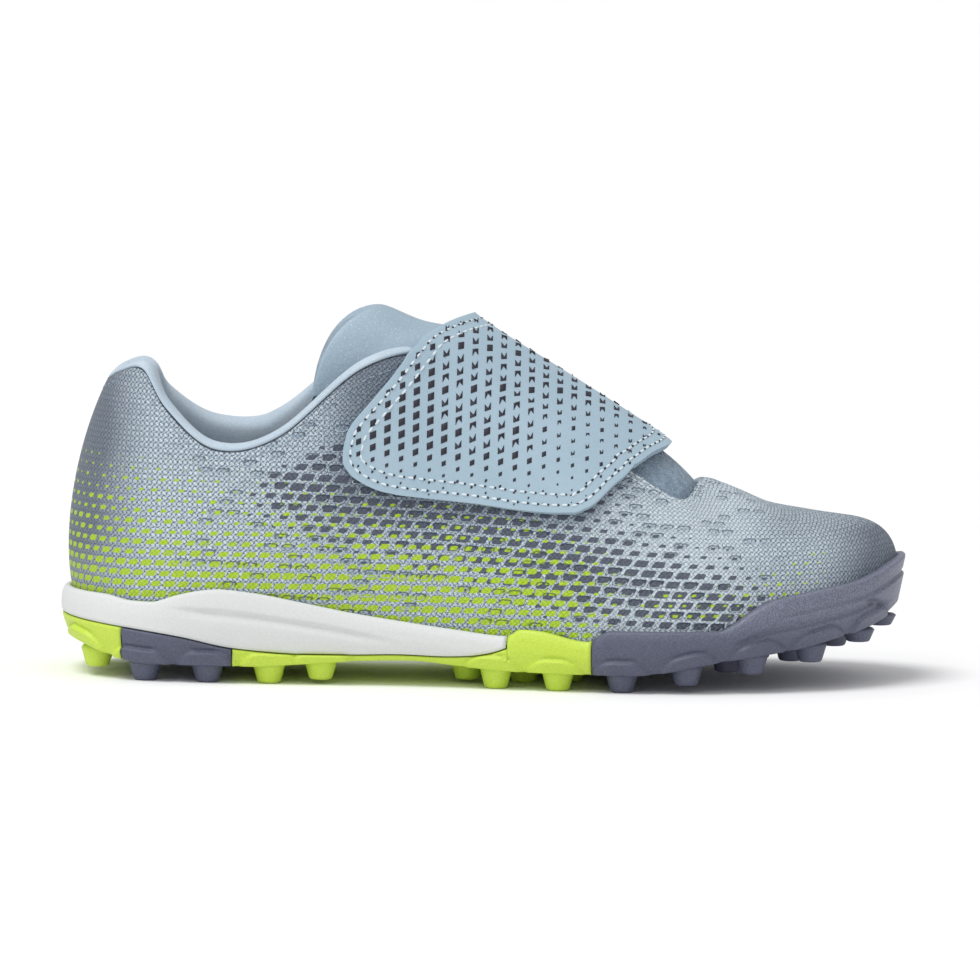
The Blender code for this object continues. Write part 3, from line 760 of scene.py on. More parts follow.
tip = block("sole_heel_tip", -HALF, TIP_JOINT - GAP / 2, LIME_LOOK, False)
keep(tip, "outsole_heel_tip")
heel = block("sole_heel", TIP_JOINT + GAP / 2, HEEL_JOINT - GAP / 2, SLATE_LOOK, False)
keep(heel, "outsole_heel")
front = block("sole_forefoot", FRONT_JOINT + GAP / 2, HALF, SLATE_LOOK, True)
keep(front, "outsole_forefoot")
low_part = spread(HEEL_JOINT + GAP / 2, FOAM_END + GAP, STEP)
high_part = spread(FOAM_END + GAP + 0.05, FRONT_JOINT - GAP / 2, STEP)
rows = [both(lambda s, d: tread_block(s, d, False), s) for s in low_part]
rows += [both(lambda s, d: tread_block(s, d, True), s) for s in high_part]
arch = mesh_of("sole_arch", rows, LIME_LOOK, around=True, caps=True)
keep(arch, "outsole_arch")
print("outsole faces:", sum(len(b.data.polygons) for b in (tip, heel, front, arch)))

# %% [markdown]
# The midsole is a wedge of white foam with a wavy upper edge. One soft crease runs down its side,
# as foam has where it was pressed in the mould. It is a shallow furrow in the same wall.

# %% Midsole
def foam_crease(x, z):
    """Share of the crease's depth at a place on the side."""
    way = (x + 76) / 55
    below = 18.6 - 7.4 * way + 1.2 * math.sin(way * math.pi) - z
    across = float(1 - ease(below, 0.0, 2.6)) * float(ease(below, -0.5, 0.1))
    return across * float(ease(x, -80, -68)) * float(1 - ease(x, -34, -18))


def foam(station, side):
    x = outline(station, side)[0]
    low, high = height(RUBBER, x) + GAP, height(RIM_TOP, x)
    wall = []
    for z in rounded(low, high, 22, 0.7):
        p = wall_point(station, side, z, plain=True)
        inset = drawn_in(z, low, high, 0.5, 0.15) + 0.75 * foam_crease(x, z)
        p[:2] += inward(station, side) * inset
        wall.append(p)
    return wall + cup(station, side, high - 0.1)


rows = [both(foam, s) for s in spread(-HALF, FOAM_END, STEP)]
midsole = keep(mesh_of("midsole_foam", rows, FOAM_LOOK, around=True, caps=True), "midsole")
print("midsole faces:", len(midsole.data.polygons))

# %% [markdown]
# ## Studs
# All studs are one turned shape set out on points. Copies made in a loop would do, but a small
# Geometry Nodes tree is what Blender has for this: each point carries its own turn and size, an
# instance stands on it, and the result is made real, because an export drops instances. The same
# tree later sets out the marks of the strap.

# %% A tree that sets shapes out on points
def setting_tree(name):
    tree = bpy.data.node_groups.new(name, "GeometryNodeTree")
    face = tree.interface
    face.new_socket("Points", in_out="INPUT", socket_type="NodeSocketGeometry")
    face.new_socket("Shape", in_out="INPUT", socket_type="NodeSocketObject")
    face.new_socket("Size", in_out="INPUT", socket_type="NodeSocketFloat").default_value = 1.0
    face.new_socket("Finish", in_out="INPUT", socket_type="NodeSocketMaterial")
    face.new_socket("Pieces", in_out="OUTPUT", socket_type="NodeSocketGeometry")
    start, end = tree.nodes.new("NodeGroupInput"), tree.nodes.new("NodeGroupOutput")
    shape = tree.nodes.new("GeometryNodeObjectInfo")
    put = tree.nodes.new("GeometryNodeInstanceOnPoints")
    turn = tree.nodes.new("GeometryNodeInputNamedAttribute")
    size = tree.nodes.new("GeometryNodeInputNamedAttribute")
    turn.data_type, size.data_type = "FLOAT_VECTOR", "FLOAT_VECTOR"
    turn.inputs["Name"].default_value, size.inputs["Name"].default_value = "turn", "size"
    whole = tree.nodes.new("ShaderNodeVectorMath")
    whole.operation = "SCALE"
    real = tree.nodes.new("GeometryNodeRealizeInstances")
    coat = tree.nodes.new("GeometryNodeSetMaterial")
    link = tree.links.new
    link(start.outputs["Points"], put.inputs["Points"])
    link(start.outputs["Shape"], shape.inputs["Object"])
    link(shape.outputs["Geometry"], put.inputs["Instance"])
    link(turn.outputs["Attribute"], put.inputs["Rotation"])
    link(size.outputs["Attribute"], whole.inputs[0])
    link(start.outputs["Size"], whole.inputs["Scale"])
    link(whole.outputs[0], put.inputs["Scale"])
    link(put.outputs["Instances"], real.inputs["Geometry"])
    link(real.outputs["Geometry"], coat.inputs["Geometry"])
    link(start.outputs["Finish"], coat.inputs["Material"])
    link(coat.outputs["Geometry"], end.inputs["Pieces"])
    return tree


SETTING = setting_tree("set_out_on_points")
print("nodes in the tree:", len(SETTING.nodes))

# %% [markdown]
# A modifier's inputs are set by each socket's identifier before the object is first evaluated.
# The evaluated result is then copied into a plain mesh, and the carrier with its modifier goes,
# so the finished piece is an ordinary mesh at the origin.

# %% From a tree to a plain mesh
def fill_inputs(modifier, tree, **values):
    for item in tree.interface.items_tree:
        if item.item_type == "SOCKET" and item.in_out == "INPUT" and item.name in values:
            modifier[item.identifier] = values[item.name]


def made_real(carrier, name, look):
    """The modifier's result as a plain mesh of its own; the carrier is removed."""
    graph = bpy.context.evaluated_depsgraph_get()
    mesh = bpy.data.meshes.new_from_object(carrier.evaluated_get(graph))
    bpy.data.objects.remove(carrier)
    mesh.name = name
    mesh.materials.clear()
    return piece_of(name, mesh, look)


def set_out(name, spots, shape, look):
    """spots: (place mm, turn as Euler angles, scale) for each copy of the shape."""
    mesh = bpy.data.meshes.new(name)
    mesh.from_pydata([tuple(np.asarray(p) * MM) for p, _, _ in spots], [], [])
    for key, column_of in (("turn", 1), ("size", 2)):
        values = mesh.attributes.new(key, "FLOAT_VECTOR", "POINT")
        values.data.foreach_set("vector", np.array([tuple(s[column_of]) for s in spots], np.float32).ravel())
    carrier = bpy.data.objects.new(name, mesh)
    scene.collection.objects.link(carrier)
    nodes = carrier.modifiers.new("set_out", "NODES")
    nodes.node_group = SETTING
    fill_inputs(nodes, SETTING, Shape=shape, Size=1.0, Finish=look)
    return made_real(carrier, name, look)


print("inputs:", [i.name for i in SETTING.interface.items_tree if i.in_out == "INPUT"])

# %% [markdown]
# A stud is a blunt cone with a rounded tip and a soft shoulder. It is turned from a profile of
# radius and height, like a part on a lathe. Its root is closed inside the sole, where it isn't
# seen.

# %% One stud
def turned(name, profile, segments):
    """A turned solid from (radius, height) pairs in mm."""
    turns = np.linspace(0, math.tau, segments, endpoint=False)
    rows = [[(r * math.cos(a), r * math.sin(a), z) for a in turns] for r, z in profile]
    shape = mesh_of(name, rows, SLATE_LOOK, around=True)
    shape.hide_render = True
    return shape


tip_of_stud = [(0.01, 0.0), (STUD_TIP - 0.9, 0.0), (STUD_TIP - 0.45, 0.1),
               (STUD_TIP - 0.12, 0.4), (STUD_TIP + 0.05, 0.9)]
shoulder = [(STUD_BASE - 0.45, STUD - 0.6), (STUD_BASE - 0.2, STUD + 0.2)]
root = [(STUD_BASE - 0.7, STUD + 0.9), (STUD_BASE - 2.0, STUD + 1.3), (0.01, STUD + STUD_ROOT)]
stud_shape = turned("stud_shape", tip_of_stud + shoulder + root, 20)
print("faces of a stud:", len(stud_shape.data.polygons))

# %% [markdown]
# Between the edge studs stand inner rows. They are given as shares of the sole's width, so they
# spread with it. Towards the toe the studs get shorter, because the sole lifts off the floor
# there. Each block's studs are one piece in that block's colour.

# %% Studs in their rows
INNER_ROWS = {
    "x":     [-95.6, -84.2, -68.7, -53.2, -40.3, -4.0, 10.0,
              21.8, 33.8, 51.0, 60.4, 76.2, 87.0, 98.6],
    "share": [0.0, 0.0, 0.36, 0.36, 0.36, 0.50, 0.36, 0.22, 0.50, 0.30, 0.52, 0.42, 0.31, 0.0],
}  # a share of 0 is one stud in the middle
MIDDLE_ROW = (2.2, 33.8, 68.2)


def middle_and_half(x):
    """Middle line and half width of the sole at a distance from the shoe's middle."""
    left = outline(station_at(x * LONG, -1), -1)[1]
    right = outline(station_at(x * LONG, 1), 1)[1]
    return (left + right) / 2, (right - left) / 2


stud_places = EDGE[-1] + EDGE[1]
for x, share in zip(INNER_ROWS["x"], INNER_ROWS["share"]):
    middle, half = middle_and_half(x)
    for y in ((middle,) if share == 0 else (middle - share * half, middle + share * half)):
        stud_places.append((x * LONG, y))
stud_places += [(x * LONG, middle_and_half(x)[0]) for x in MIDDLE_ROW]


def stud_spot(x, y):
    """Foot of the stud, no turn, and a size that makes it reach up to the sole."""
    under = height(UNDER, x)
    foot = under - STUD * (1 - 0.45 * ramp(x / HALF, 0.74, 0.93))
    foot = 0.0 if foot < 0.9 else foot
    return (x, y, foot), (0, 0, 0), (1, 1, (under - foot) / STUD)


for name, look, slot_name, low, high in (
        ("studs_heel_tip", LIME_LOOK, "lime_rubber", -LENGTH, TIP_JOINT),
        ("studs_heel", SLATE_LOOK, "slate_rubber", TIP_JOINT, HEEL_JOINT),
        ("studs_arch", LIME_LOOK, "lime_rubber", HEEL_JOINT, FRONT_JOINT),
        ("studs_forefoot", SLATE_LOOK, "slate_rubber", FRONT_JOINT, LENGTH)):
    spots = [stud_spot(x, y) for x, y in stud_places if low <= x < high]
    keep(set_out(name, spots, stud_shape, look), None)
bpy.data.objects.remove(stud_shape)
print("studs:", len(stud_places))

# %% [markdown]
# ## The printed cloth of the upper
# The cloth is a coarse basket weave with two prints on it: slate lozenges in slanting rows over
# the middle, and rounded lime ones near the sole and over the heel. A print has no thickness, so
# it belongs in the material. Both prints, and the raised outlines, are the same thing: slanting
# rows of marks on the flat map, each with a chance value of its own.

# %% Rows of marks
def lozenges(cloth, u, v, pitch, rise, shift, lean, width, height, power, slope):
    """Slanting rows of marks: how far a place is from the nearest mark's middle, where 1 is the
    mark's edge at full size, a chance value for that mark and the height over its middle, mm."""
    v = cloth.math("ADD", v, cloth.math("MULTIPLY", u, slope))
    row = cloth.math("DIVIDE", v, rise)
    line = cloth.math("FLOOR", row)
    y = cloth.math("MULTIPLY", cloth.math("SUBTRACT", cloth.math("FRACT", row), 0.5), rise)
    along = cloth.math("DIVIDE", cloth.math("ADD", u, cloth.math("MULTIPLY", line, shift)), pitch)
    x = cloth.math("MULTIPLY", cloth.math("SUBTRACT", cloth.math("FRACT", along), 0.5), pitch)
    x = cloth.math("SUBTRACT", x, cloth.math("MULTIPLY", y, lean))
    a = cloth.math("POWER", cloth.math("DIVIDE", cloth.math("ABSOLUTE", x), width / 2), power)
    b = cloth.math("POWER", cloth.math("DIVIDE", cloth.math("ABSOLUTE", y), height / 2), power)
    far = cloth.math("POWER", cloth.math("ADD", a, b), 1 / power)
    mark = cloth.vector(cloth.math("FLOOR", along), line)
    return far, cloth.node("ShaderNodeTexWhiteNoise", mark, noise_dimensions="2D"), y


def printed(cloth, far, spot, size, spread_by, edge, first):
    """1 where a mark of this size is printed, 0 elsewhere."""
    chance = cloth.math("MULTIPLY", cloth.math("SUBTRACT", spot, 0.5), spread_by)
    reach = cloth.math("ADD", size, chance)
    start, end = cloth.math("SUBTRACT", reach, edge), cloth.math("ADD", reach, edge)
    inside = cloth.math("SUBTRACT", 1.0, cloth.step(far, start, end))
    return cloth.math("MULTIPLY", inside, cloth.step(size, first, first + 0.16))


SLATE_ROWS = dict(pitch=4.28, rise=2.54, shift=1.76, lean=0.55, width=3.4, slope=0.045)
LIME_ROWS = dict(pitch=3.43, rise=2.57, shift=1.25, lean=0.45, width=2.8, slope=0.0)
print("slate marks every", SLATE_ROWS["pitch"], "mm in rows", SLATE_ROWS["rise"], "mm apart")

# %% [markdown]
# In a basket weave small bundles of yarn cross over and under each other, here on the slant. Two
# sine waves give the round backs of the bundles, their product says which one is on top, and
# where both are low there is a small gap. The backs get a painted highlight and the gaps a painted
# shade. Real yarns in geometry would be hundreds of thousands of faces for something less than
# half a millimetre high.

# %% Basket weave
WEAVE_PITCH = 1.30     # from one bundle of yarn to the next, mm


def basket(cloth, u, v, pitch):
    """Basket weave on the slant: bundles that cross over and under. Height from 0 to 1, and the
    gaps at the corners where four bundles meet, which get a painted shade."""
    along = cloth.math("MULTIPLY", cloth.math("ADD", u, v), math.pi / pitch)
    across = cloth.math("MULTIPLY", cloth.math("SUBTRACT", u, v), math.pi / pitch)
    one, two = cloth.math("SINE", along), cloth.math("SINE", across)
    over = cloth.step(cloth.math("MULTIPLY", one, two), -0.10, 0.10)
    one, two = cloth.math("ABSOLUTE", one), cloth.math("ABSOLUTE", two)
    warp = cloth.math("MULTIPLY", over, cloth.math("POWER", one, 0.6))
    weft = cloth.math("MULTIPLY", cloth.math("SUBTRACT", 1.0, over), cloth.math("POWER", two, 0.6))
    gap_shade = cloth.math("SUBTRACT", 1.0, cloth.step(cloth.math("MAXIMUM", one, two), 0.30, 0.62))
    return cloth.math("ADD", warp, weft), over, gap_shade


def blue_ground(cloth, u, v):
    """Colour of the bare cloth, with the height of its weave and its fine flecks. The backs of the
    weave get a painted highlight and its gaps a painted shade, and painted shade lies at the heel,
    the toe tip and under the strap.
    """
    flat_place = cloth.vector(u, v)
    bend = cloth.math("MULTIPLY", cloth.math("SUBTRACT", cloth.noise(flat_place, 0.5, 2.0), 0.5), 1.1)
    height, over, gap_shade = basket(cloth, cloth.math("ADD", u, bend), v, WEAVE_PITCH)
    patchy = cloth.noise(flat_place, 0.7, 3.0, 0.6)
    fleck = cloth.noise(flat_place, 2.6, 3.0, 0.65)
    weave = cloth.math("ADD", cloth.math("MULTIPLY", height, 0.75), cloth.math("MULTIPLY", over, 0.25))
    coarse = cloth.painted("coarse")
    share = cloth.math("MULTIPLY", coarse, 0.38)
    from_weave = cloth.math("MULTIPLY", weave, cloth.math("ADD", 0.30, share))
    from_fleck = cloth.math("MULTIPLY", cloth.step(fleck, 0.28, 0.72), cloth.math("SUBTRACT", 0.68, share))
    # painted highlight on the backs of the weave, mixed with the cloth's own flecks
    tone = cloth.step(cloth.math("ADD", from_weave, from_fleck), 0.20, 0.86)
    blue = cloth.mix(tone, ink(84, 102, 123), ink(218, 231, 240))
    # painted shade in the gaps of the weave
    deep = cloth.math("MULTIPLY", gap_shade, cloth.math("ADD", 0.40, cloth.math("MULTIPLY", coarse, 0.50)))
    blue = cloth.mix(deep, blue, ink(62, 78, 98))
    clouds = cloth.math("MULTIPLY", cloth.step(patchy, 0.42, 0.72), 0.38)
    blue = cloth.mix(clouds, blue, ink(118, 138, 160))
    blue = cloth.mix(cloth.painted("pale"), blue, ink(222, 234, 240))
    # painted shade at the heel and the toe tip, and a painted shadow under the strap
    return cloth.mix(cloth.painted("shade"), blue, ink(74, 84, 100)), weave, fleck


print("weave pitch:", WEAVE_PITCH, "mm")

# %% [markdown]
# Some lozenges of the slate rows are raised in the cloth and show as a thin outline, with a painted
# highlight on its upper side and a painted shadow on its lower side. The chance value of each place
# says which ones are raised. Bump is enough for a relief this low.

# %% Raised outlines
def raised_outlines(cloth, u, v):
    """Outline and inside of the raised lozenges, and the colour of their edges: a painted highlight
    above and a painted shadow below.
    """
    far, spot, y = lozenges(cloth, u, v, height=2.0, power=4.0, **SLATE_ROWS)
    chosen = cloth.math("MULTIPLY", cloth.step(spot, 0.62, 0.64), cloth.painted("raised"))
    inside = cloth.math("MULTIPLY", cloth.math("SUBTRACT", 1.0, cloth.step(far, 0.66, 0.80)), chosen)
    line = cloth.math("SUBTRACT", cloth.step(far, 0.70, 0.80), cloth.step(far, 0.94, 1.04))
    # painted highlight on the upper side of the outline and painted shadow on its lower side
    edge = cloth.mix(cloth.step(y, -0.25, 0.25), ink(212, 226, 236), ink(62, 76, 96))
    return cloth.math("MULTIPLY", line, chosen), inside, edge


print("raised: where the chance value is over 0.63")

# %% [markdown]
# The layers come together in the order in which they are made on the real cloth: the weave, the
# slate print, the lime print over it, and the pressed outlines last. The ragged edge of the lime
# marks is the weave showing through the ink.

# %% Printed cloth
def woven_cloth():
    cloth = Finish("printed_weave", 0.62, specular=0.38, sheen=0.05)
    u, v = cloth.flat()
    blue, weave, fleck = blue_ground(cloth, u, v)
    outline_at, inside, edge = raised_outlines(cloth, u, v)
    blue = cloth.mix(cloth.math("MULTIPLY", inside, 0.30), blue, ink(120, 142, 164))
    far, spot, _ = lozenges(cloth, u, v, height=1.95, power=6.0, **SLATE_ROWS)
    slate = printed(cloth, far, spot, cloth.painted("slate"), 0.22, 0.07, 0.12)
    slate_ink = cloth.mix(fleck, ink(46, 51, 68), ink(94, 101, 118))
    once = cloth.mix(cloth.math("MULTIPLY", slate, 0.92), blue, slate_ink)
    fray = cloth.math("MULTIPLY", cloth.math("SUBTRACT", fleck, 0.5), 0.9)
    far, spot, _ = lozenges(cloth, cloth.math("ADD", u, fray), v, height=1.65, power=3.6, **LIME_ROWS)
    lime = printed(cloth, far, spot, cloth.painted("lime"), 0.30, 0.10, 0.1)
    lime_ink = cloth.mix(fleck, ink(150, 190, 18), ink(206, 236, 44))
    twice = cloth.mix(cloth.math("MULTIPLY", lime, 0.95), once, lime_ink)
    # the raised outlines take their painted highlight and painted shadow
    cloth.colour(cloth.mix(cloth.math("MULTIPLY", outline_at, 0.70), twice, edge))
    low = cloth.bump(cloth.math("ADD", weave, cloth.math("MULTIPLY", fleck, 0.8)), 0.42)
    cloth.normal(cloth.bump(outline_at, 0.30, low))
    return cloth.material


PRINTED = woven_cloth()
print("nodes in the printed cloth:", len(PRINTED.node_tree.nodes))

# %% [markdown]
# The inside of the upper, the lining and the insole are plain cloths that differ only in colour
# and in how fine they are. They need no flat map, because their grain has no direction.

# %% Plain cloths
def plain_cloth(name, dark, light, pitch, depth):
    cloth = Finish(name, 0.85, sheen=0.15)
    where = cloth.place()
    soft = cloth.noise(where, 90.0, 3.0, 0.6)
    fine = cloth.noise(where, 1000.0 / pitch, 1.0, 0.4)
    tone = cloth.math("ADD", cloth.math("MULTIPLY", soft, 0.5), cloth.math("MULTIPLY", fine, 0.5))
    cloth.colour(cloth.mix(tone, dark, light))
    cloth.normal(cloth.bump(fine, depth))
    return cloth.material


INSIDE_CLOTH = plain_cloth("inside_cloth", ink(86, 104, 122), ink(120, 140, 158), 0.7, 0.08)
LINING_CLOTH = plain_cloth("smooth_lining", ink(152, 171, 187), ink(208, 221, 231), 0.5, 0.05)
SOCK_CLOTH = plain_cloth("insole_cloth", ink(88, 104, 120), ink(124, 142, 158), 0.9, 0.1)
print("plain cloths: 3")

# %% [markdown]
# ## The upper
# Before it is sewn, the upper is a flat sheet, and the print was made on that sheet. So the flat
# map measures the cloth along and up the surface, and the print keeps its size where the toe and
# the heel turn round. An unwrap would cut seams where the real cloth has none.

# %% Flat map of the cloth
def cloth_side(side, stations, ups):
    """Points of one side and their places on the flat sheet, mm."""
    points = np.array([[bezier(column(s, side), t) for t in ups] for s in stations])
    step = np.linalg.norm(np.diff(points[:, :, :2], axis=0), axis=2)
    along = np.concatenate([np.zeros((1, len(ups))), np.cumsum(step, axis=0)])
    middle = int(np.argmin(np.abs(stations - 6.0)))
    u = along - along[middle] + points[middle, :, 0]
    rise = np.linalg.norm(np.diff(points[:, :, 1:], axis=1), axis=2)
    climbed = np.concatenate([np.zeros((len(stations), 1)), np.cumsum(rise, axis=1)], axis=1)
    return points, np.stack([u, points[:, :1, 2] + climbed], axis=2)


ups = np.linspace(0, 1, 34)
stations = np.linspace(0, LAST, 171)
lateral, flat_lateral = cloth_side(-1, stations, ups)
medial, flat_medial = cloth_side(1, stations, ups)
print("cloth from heel to toe:", round(float(np.ptp(flat_lateral[:, 0, 0]))), "mm")

# %% [markdown]
# The prints fade in and out over the shoe. How large the marks are at each point is painted on
# the mesh as a value, from the point's own place, and the material reads it. The slate marks are
# largest in a band that falls towards the toe, and the lime ones near the sole.

# %% Where the prints are
def slate_size(x, z):
    band = 50 - 0.30 * (x + 40)
    near = np.exp(-((z - band) / np.where(z > band, 12.0, 14.0)) ** 2)
    size = near * ease(x, -74, -46) * (1 - ease(x, 56, 84)) * 1.15
    under_collar = 0.9 * ease(z, 30, 46) * ease(x, -60, -40) * (1 - ease(x, 18, 46))
    return np.maximum(size, under_collar) * (1 - ease(z - 48 - 0.55 * (x + 60), -3, 3))


def lime_size(x, z):
    fade = 1 - ease(z, 28 - 0.08 * x, 54 - 0.14 * x)
    size = fade * (1 - ease(x, 12, 44)) * (0.66 + 0.42 * (1 - ease(z, 18, 42)))
    over_rim = z - 15.5 - 0.34 * np.clip(x - 58, 0, 30)
    dots = 0.34 * ease(x, 30, 44) * (1 - ease(x, 80, 92))
    return np.maximum(size, dots * ease(over_rim, 0.5, 2.5) * (1 - ease(over_rim, 7, 15)))


print("slate size on the side:", round(float(slate_size(np.array(0.0), np.array(38.0))), 2))

# %% [markdown]
# Other painted values say where the cloth is darker, which is painted shade at the heel and the toe
# tip and a painted shadow under the strap; where it is paler, on the vamp; and where the weave shows
# most.

# %% Painted shade of the cloth, and where it is coarser
# painted shade at the heel, the toe and its top, and a painted shadow under the strap
def cloth_shade(x, z):
    shade = 1.05 * (1 - ease(x, -105, -80)) * (0.55 + 0.45 * ease(z, 22, 40))
    shade += 0.80 * ease(x, 80, 101) * (1 - ease(z, 36, 43)) + 0.22 * ease(x, 50, 80) * (1 - ease(z, 26, 40))
    shade += 0.20 * ease(z, 46, 62) * (1 - ease(x, -98, -80))
    shade += 0.30 * ease(x, -40, -28) * (1 - ease(x, 52, 60)) * ease(z, 42, 56)
    shade += 0.26 * ease(x, 62, 78) * ease(z, 34, 40)
    shade += 0.40 * ease(x, -44, -34) * (1 - ease(x, 22, 34)) * ease(z, 36, 46)
    return shade


def paint(points):
    """Values for each point of the cloth."""
    x, z = points[:, :, 0], points[:, :, 2]
    pale = 0.34 * ease(x, 18, 36) * (1 - ease(x, 58, 74)) * (1 - 0.6 * ease(z, 44, 52))
    raised = ease(x, -84, -66) * (1 - ease(x, 62, 84)) * (1 - ease(z, 62, 72))
    coarse = 0.25 + 0.75 * (1 - ease(x, -66, -34)) + 0.6 * ease(x, 30, 52)
    return {"slate": np.clip(slate_size(x, z), 0, 1), "lime": np.clip(lime_size(x, z), 0, 1),
            "shade": np.clip(cloth_shade(x, z), 0, 0.8), "raised": raised, "pale": pale,
            "coarse": np.clip(coarse, 0, 1)}


print("painted values:", ", ".join(paint(lateral)))

# %% [markdown]
# The two sides are merged at the heel and the toe into one open sheet. Solidify gives it the wall
# that the real cloth and its backing have, growing inwards, and the inner wall gets the plain
# cloth. The normals are set before that, because on a closed shell they would turn the inner wall
# round.

# %% Upper
halves = [mesh_of("lateral", lateral, PRINTED, flat=flat_lateral, painted=paint(lateral)),
          mesh_of("medial", medial, PRINTED, flat=flat_medial, painted=paint(medial))]
form = bmesh.new()
for half in halves:
    form.from_mesh(half.data)
bmesh.ops.remove_doubles(form, verts=form.verts, dist=0.01 * MM)
bmesh.ops.recalc_face_normals(form, faces=form.faces)
toe_face = max(form.faces, key=lambda f: f.calc_center_median().x)
if toe_face.normal.x < 0:
    bmesh.ops.reverse_faces(form, faces=form.faces)
mesh = bpy.data.meshes.new("upper_cloth")
form.to_mesh(mesh)
form.free()
for half in halves:
    bpy.data.objects.remove(half)
upper = piece_of("upper_cloth", mesh, PRINTED, INSIDE_CLOTH)
wall = upper.modifiers.new("wall", "SOLIDIFY")
wall.thickness, wall.offset = WALL * MM, -1
wall.use_even_offset = wall.use_rim = True
wall.material_offset = 1
keep(upper, "upper")
print("upper faces:", len(mesh.polygons))

# %% [markdown]
# ## Collar
# The collar is padded cloth that is rolled over the edge of the upper and sewn down. Its section
# is a closed loop: down the inside of the wall, over the edge as a roll, and back up the pad's
# soft side. It is swept round the heel from one side to the other. A cloth simulation would puff
# it, but a collar this tight keeps the shape that it was sewn to.

# %% Section of the collar
def lining(station, side):
    pad = 1.6 + (LINING - 1.6) * (1 - float(ease(station, 4.9, 5.7)))
    back_off = WALL + GAP
    proud = 0.45 * float(ease(station, 0.3, 2.2))
    top = shell(station, side, 1.0)
    n = facing(station, side, 0.98)
    rise = top - shell(station, side, 0.94)
    rise = rise / np.linalg.norm(rise)
    against = (0.42, 0.55, 0.7, 0.85, 0.97)
    outer = [offset(station, side, v, -back_off - 0.25 * (1 - v)) for v in against]
    over_edge = ((back_off, GAP + 0.1), (-0.05, GAP + 0.05), (-proud, 0.75), (0.2 - proud, 1.5),
                 (0.7, 2.2), (back_off * 0.8, 2.6), (back_off + pad * 0.5, 2.3),
                 (back_off + pad * 0.85, 1.4), (back_off + pad, 0.2))
    roll = [top - n * inwards + rise * up for inwards, up in over_edge]
    down = ((0.93, 1.03), (0.86, 0.98), (0.74, 0.86), (0.6, 0.66), (0.5, 0.5), (0.42, 0.35))
    return outer + roll + [offset(station, side, v, -back_off - pad * share) for v, share in down]


print("points in the section:", len(lining(3.0, -1)))

# %% [markdown]
# One level of Subdivision Surface rounds the roll.

# %% Collar lining
def both_ways(first, last, count):
    """Stations from the lateral side round the heel to the medial side."""
    half = [(s, -1) for s in np.linspace(first, last, count)]
    return half + [(s, 1) for s in np.linspace(last, first, count)[1:]]


rows = [lining(s, side) for s, side in both_ways(6.75, 0.0, 72)]
collar = mesh_of("collar_padding", rows, LINING_CLOTH, around=True, caps=True)
soft = collar.modifiers.new("soft", "SUBSURF")
soft.levels = soft.render_levels = 1
keep(collar, "collar_lining")
print("collar rows:", len(rows))

# %% [markdown]
# ## Tongue
# The tongue's cloth has fine shiny grains, coloured near white as a painted glint, and soft
# wrinkles where it bends under the strap's front edge. Its front part is darker, with painted shade
# as of the strap's shadow, deepest in the hollows of the wrinkles.

# %% Tongue cloth
def shimmer():
    cloth = Finish("shimmer_cloth", 0.5, specular=0.5, sheen=0.1)
    where = cloth.place()
    grain = cloth.noise(where, 2600.0, 2.0, 0.7)
    blue = cloth.mix(cloth.noise(where, 60.0, 2.0), ink(138, 160, 177), ink(166, 186, 200))
    # painted shade on the front part of the tongue
    front = cloth.step(cloth.split(where)[0], 0.030, 0.040)
    blue = cloth.mix(cloth.math("MULTIPLY", front, 0.55), blue, ink(112, 132, 152))
    folds = cloth.noise(where, 620.0, 3.0, 0.6)
    # painted shade in the hollows of the wrinkles
    crease_shade = cloth.math("MULTIPLY", cloth.math("MULTIPLY", front, 0.55), cloth.step(folds, 0.70, 0.36))
    blue = cloth.mix(crease_shade, blue, ink(84, 102, 122))
    # painted glint: near-white grains, together with a real lower roughness
    glint_spots = cloth.step(grain, 0.58, 0.70)
    cloth.colour(cloth.mix(cloth.math("MULTIPLY", glint_spots, 0.55), blue, ink(222, 234, 242)))
    cloth.roughness(cloth.math("SUBTRACT", 0.62, cloth.math("MULTIPLY", glint_spots, 0.3)))
    wrinkle = cloth.bump(cloth.math("MULTIPLY", folds, cloth.math("ADD", 0.25, front)), 0.6)
    cloth.normal(cloth.bump(grain, 0.08, wrinkle))
    return cloth.material


SHIMMER_CLOTH = shimmer()
print("tongue finish:", SHIMMER_CLOTH.name)

# %% [markdown]
# The tongue stands up behind the strap as a rounded shield, and runs forward inside the throat to
# the vamp. Each row of the table is one section across it: where its middle and its edges lie,
# how far the edges are tucked in under the upper, and how thick it is.

# %% Sections of the tongue
TONGUE_ROWS = {
    "row":     [0, 1, 2, 3, 4, 5, 6, 7, 8],
    "crown_x": [-31.2, -26.6, -15.5, -3.0, 12.0, 27.0, 39.0, 48.6, 57.0],
    "crown_z": [89.4, 92.0, 88.0, 85.8, 76.9, 68.0, 60.2, 52.6, 43.4],
    "side_x":  [-43.6, -43.0, -34.0, -20.0, 4.0, 22.0, 37.0, 46.0, 50.0],
    "side_y":  [13.4, 14.0, 14.2, 14.0, 14.2, 14.8, 14.8, 14.5, 9.0],
    "side_z":  [68.6, 70.4, 70.8, 71.0, 63.0, 53.5, 44.5, 42.5, 45.0],
    "station": [6.0, 6.0, 6.4, 7.0, 7.8, 8.6, 9.3, 10.0, 10.8],
    "under":   [0.9, 0.9, 0.9, 0.86, 0.84, 0.84, 0.84, 0.84, 0.90],
    "buried":  [0, 0, 0, 0.6, 1, 1, 1, 1, 1],
    "deep":    [0, 0, 0, 0, 0, 0, 0, 0.8, 1.2],
    "thick":   [3.6, 5.0, 5.4, 4.6, 4.4, 4.0, 3.0, 2.2, 1.6],
}


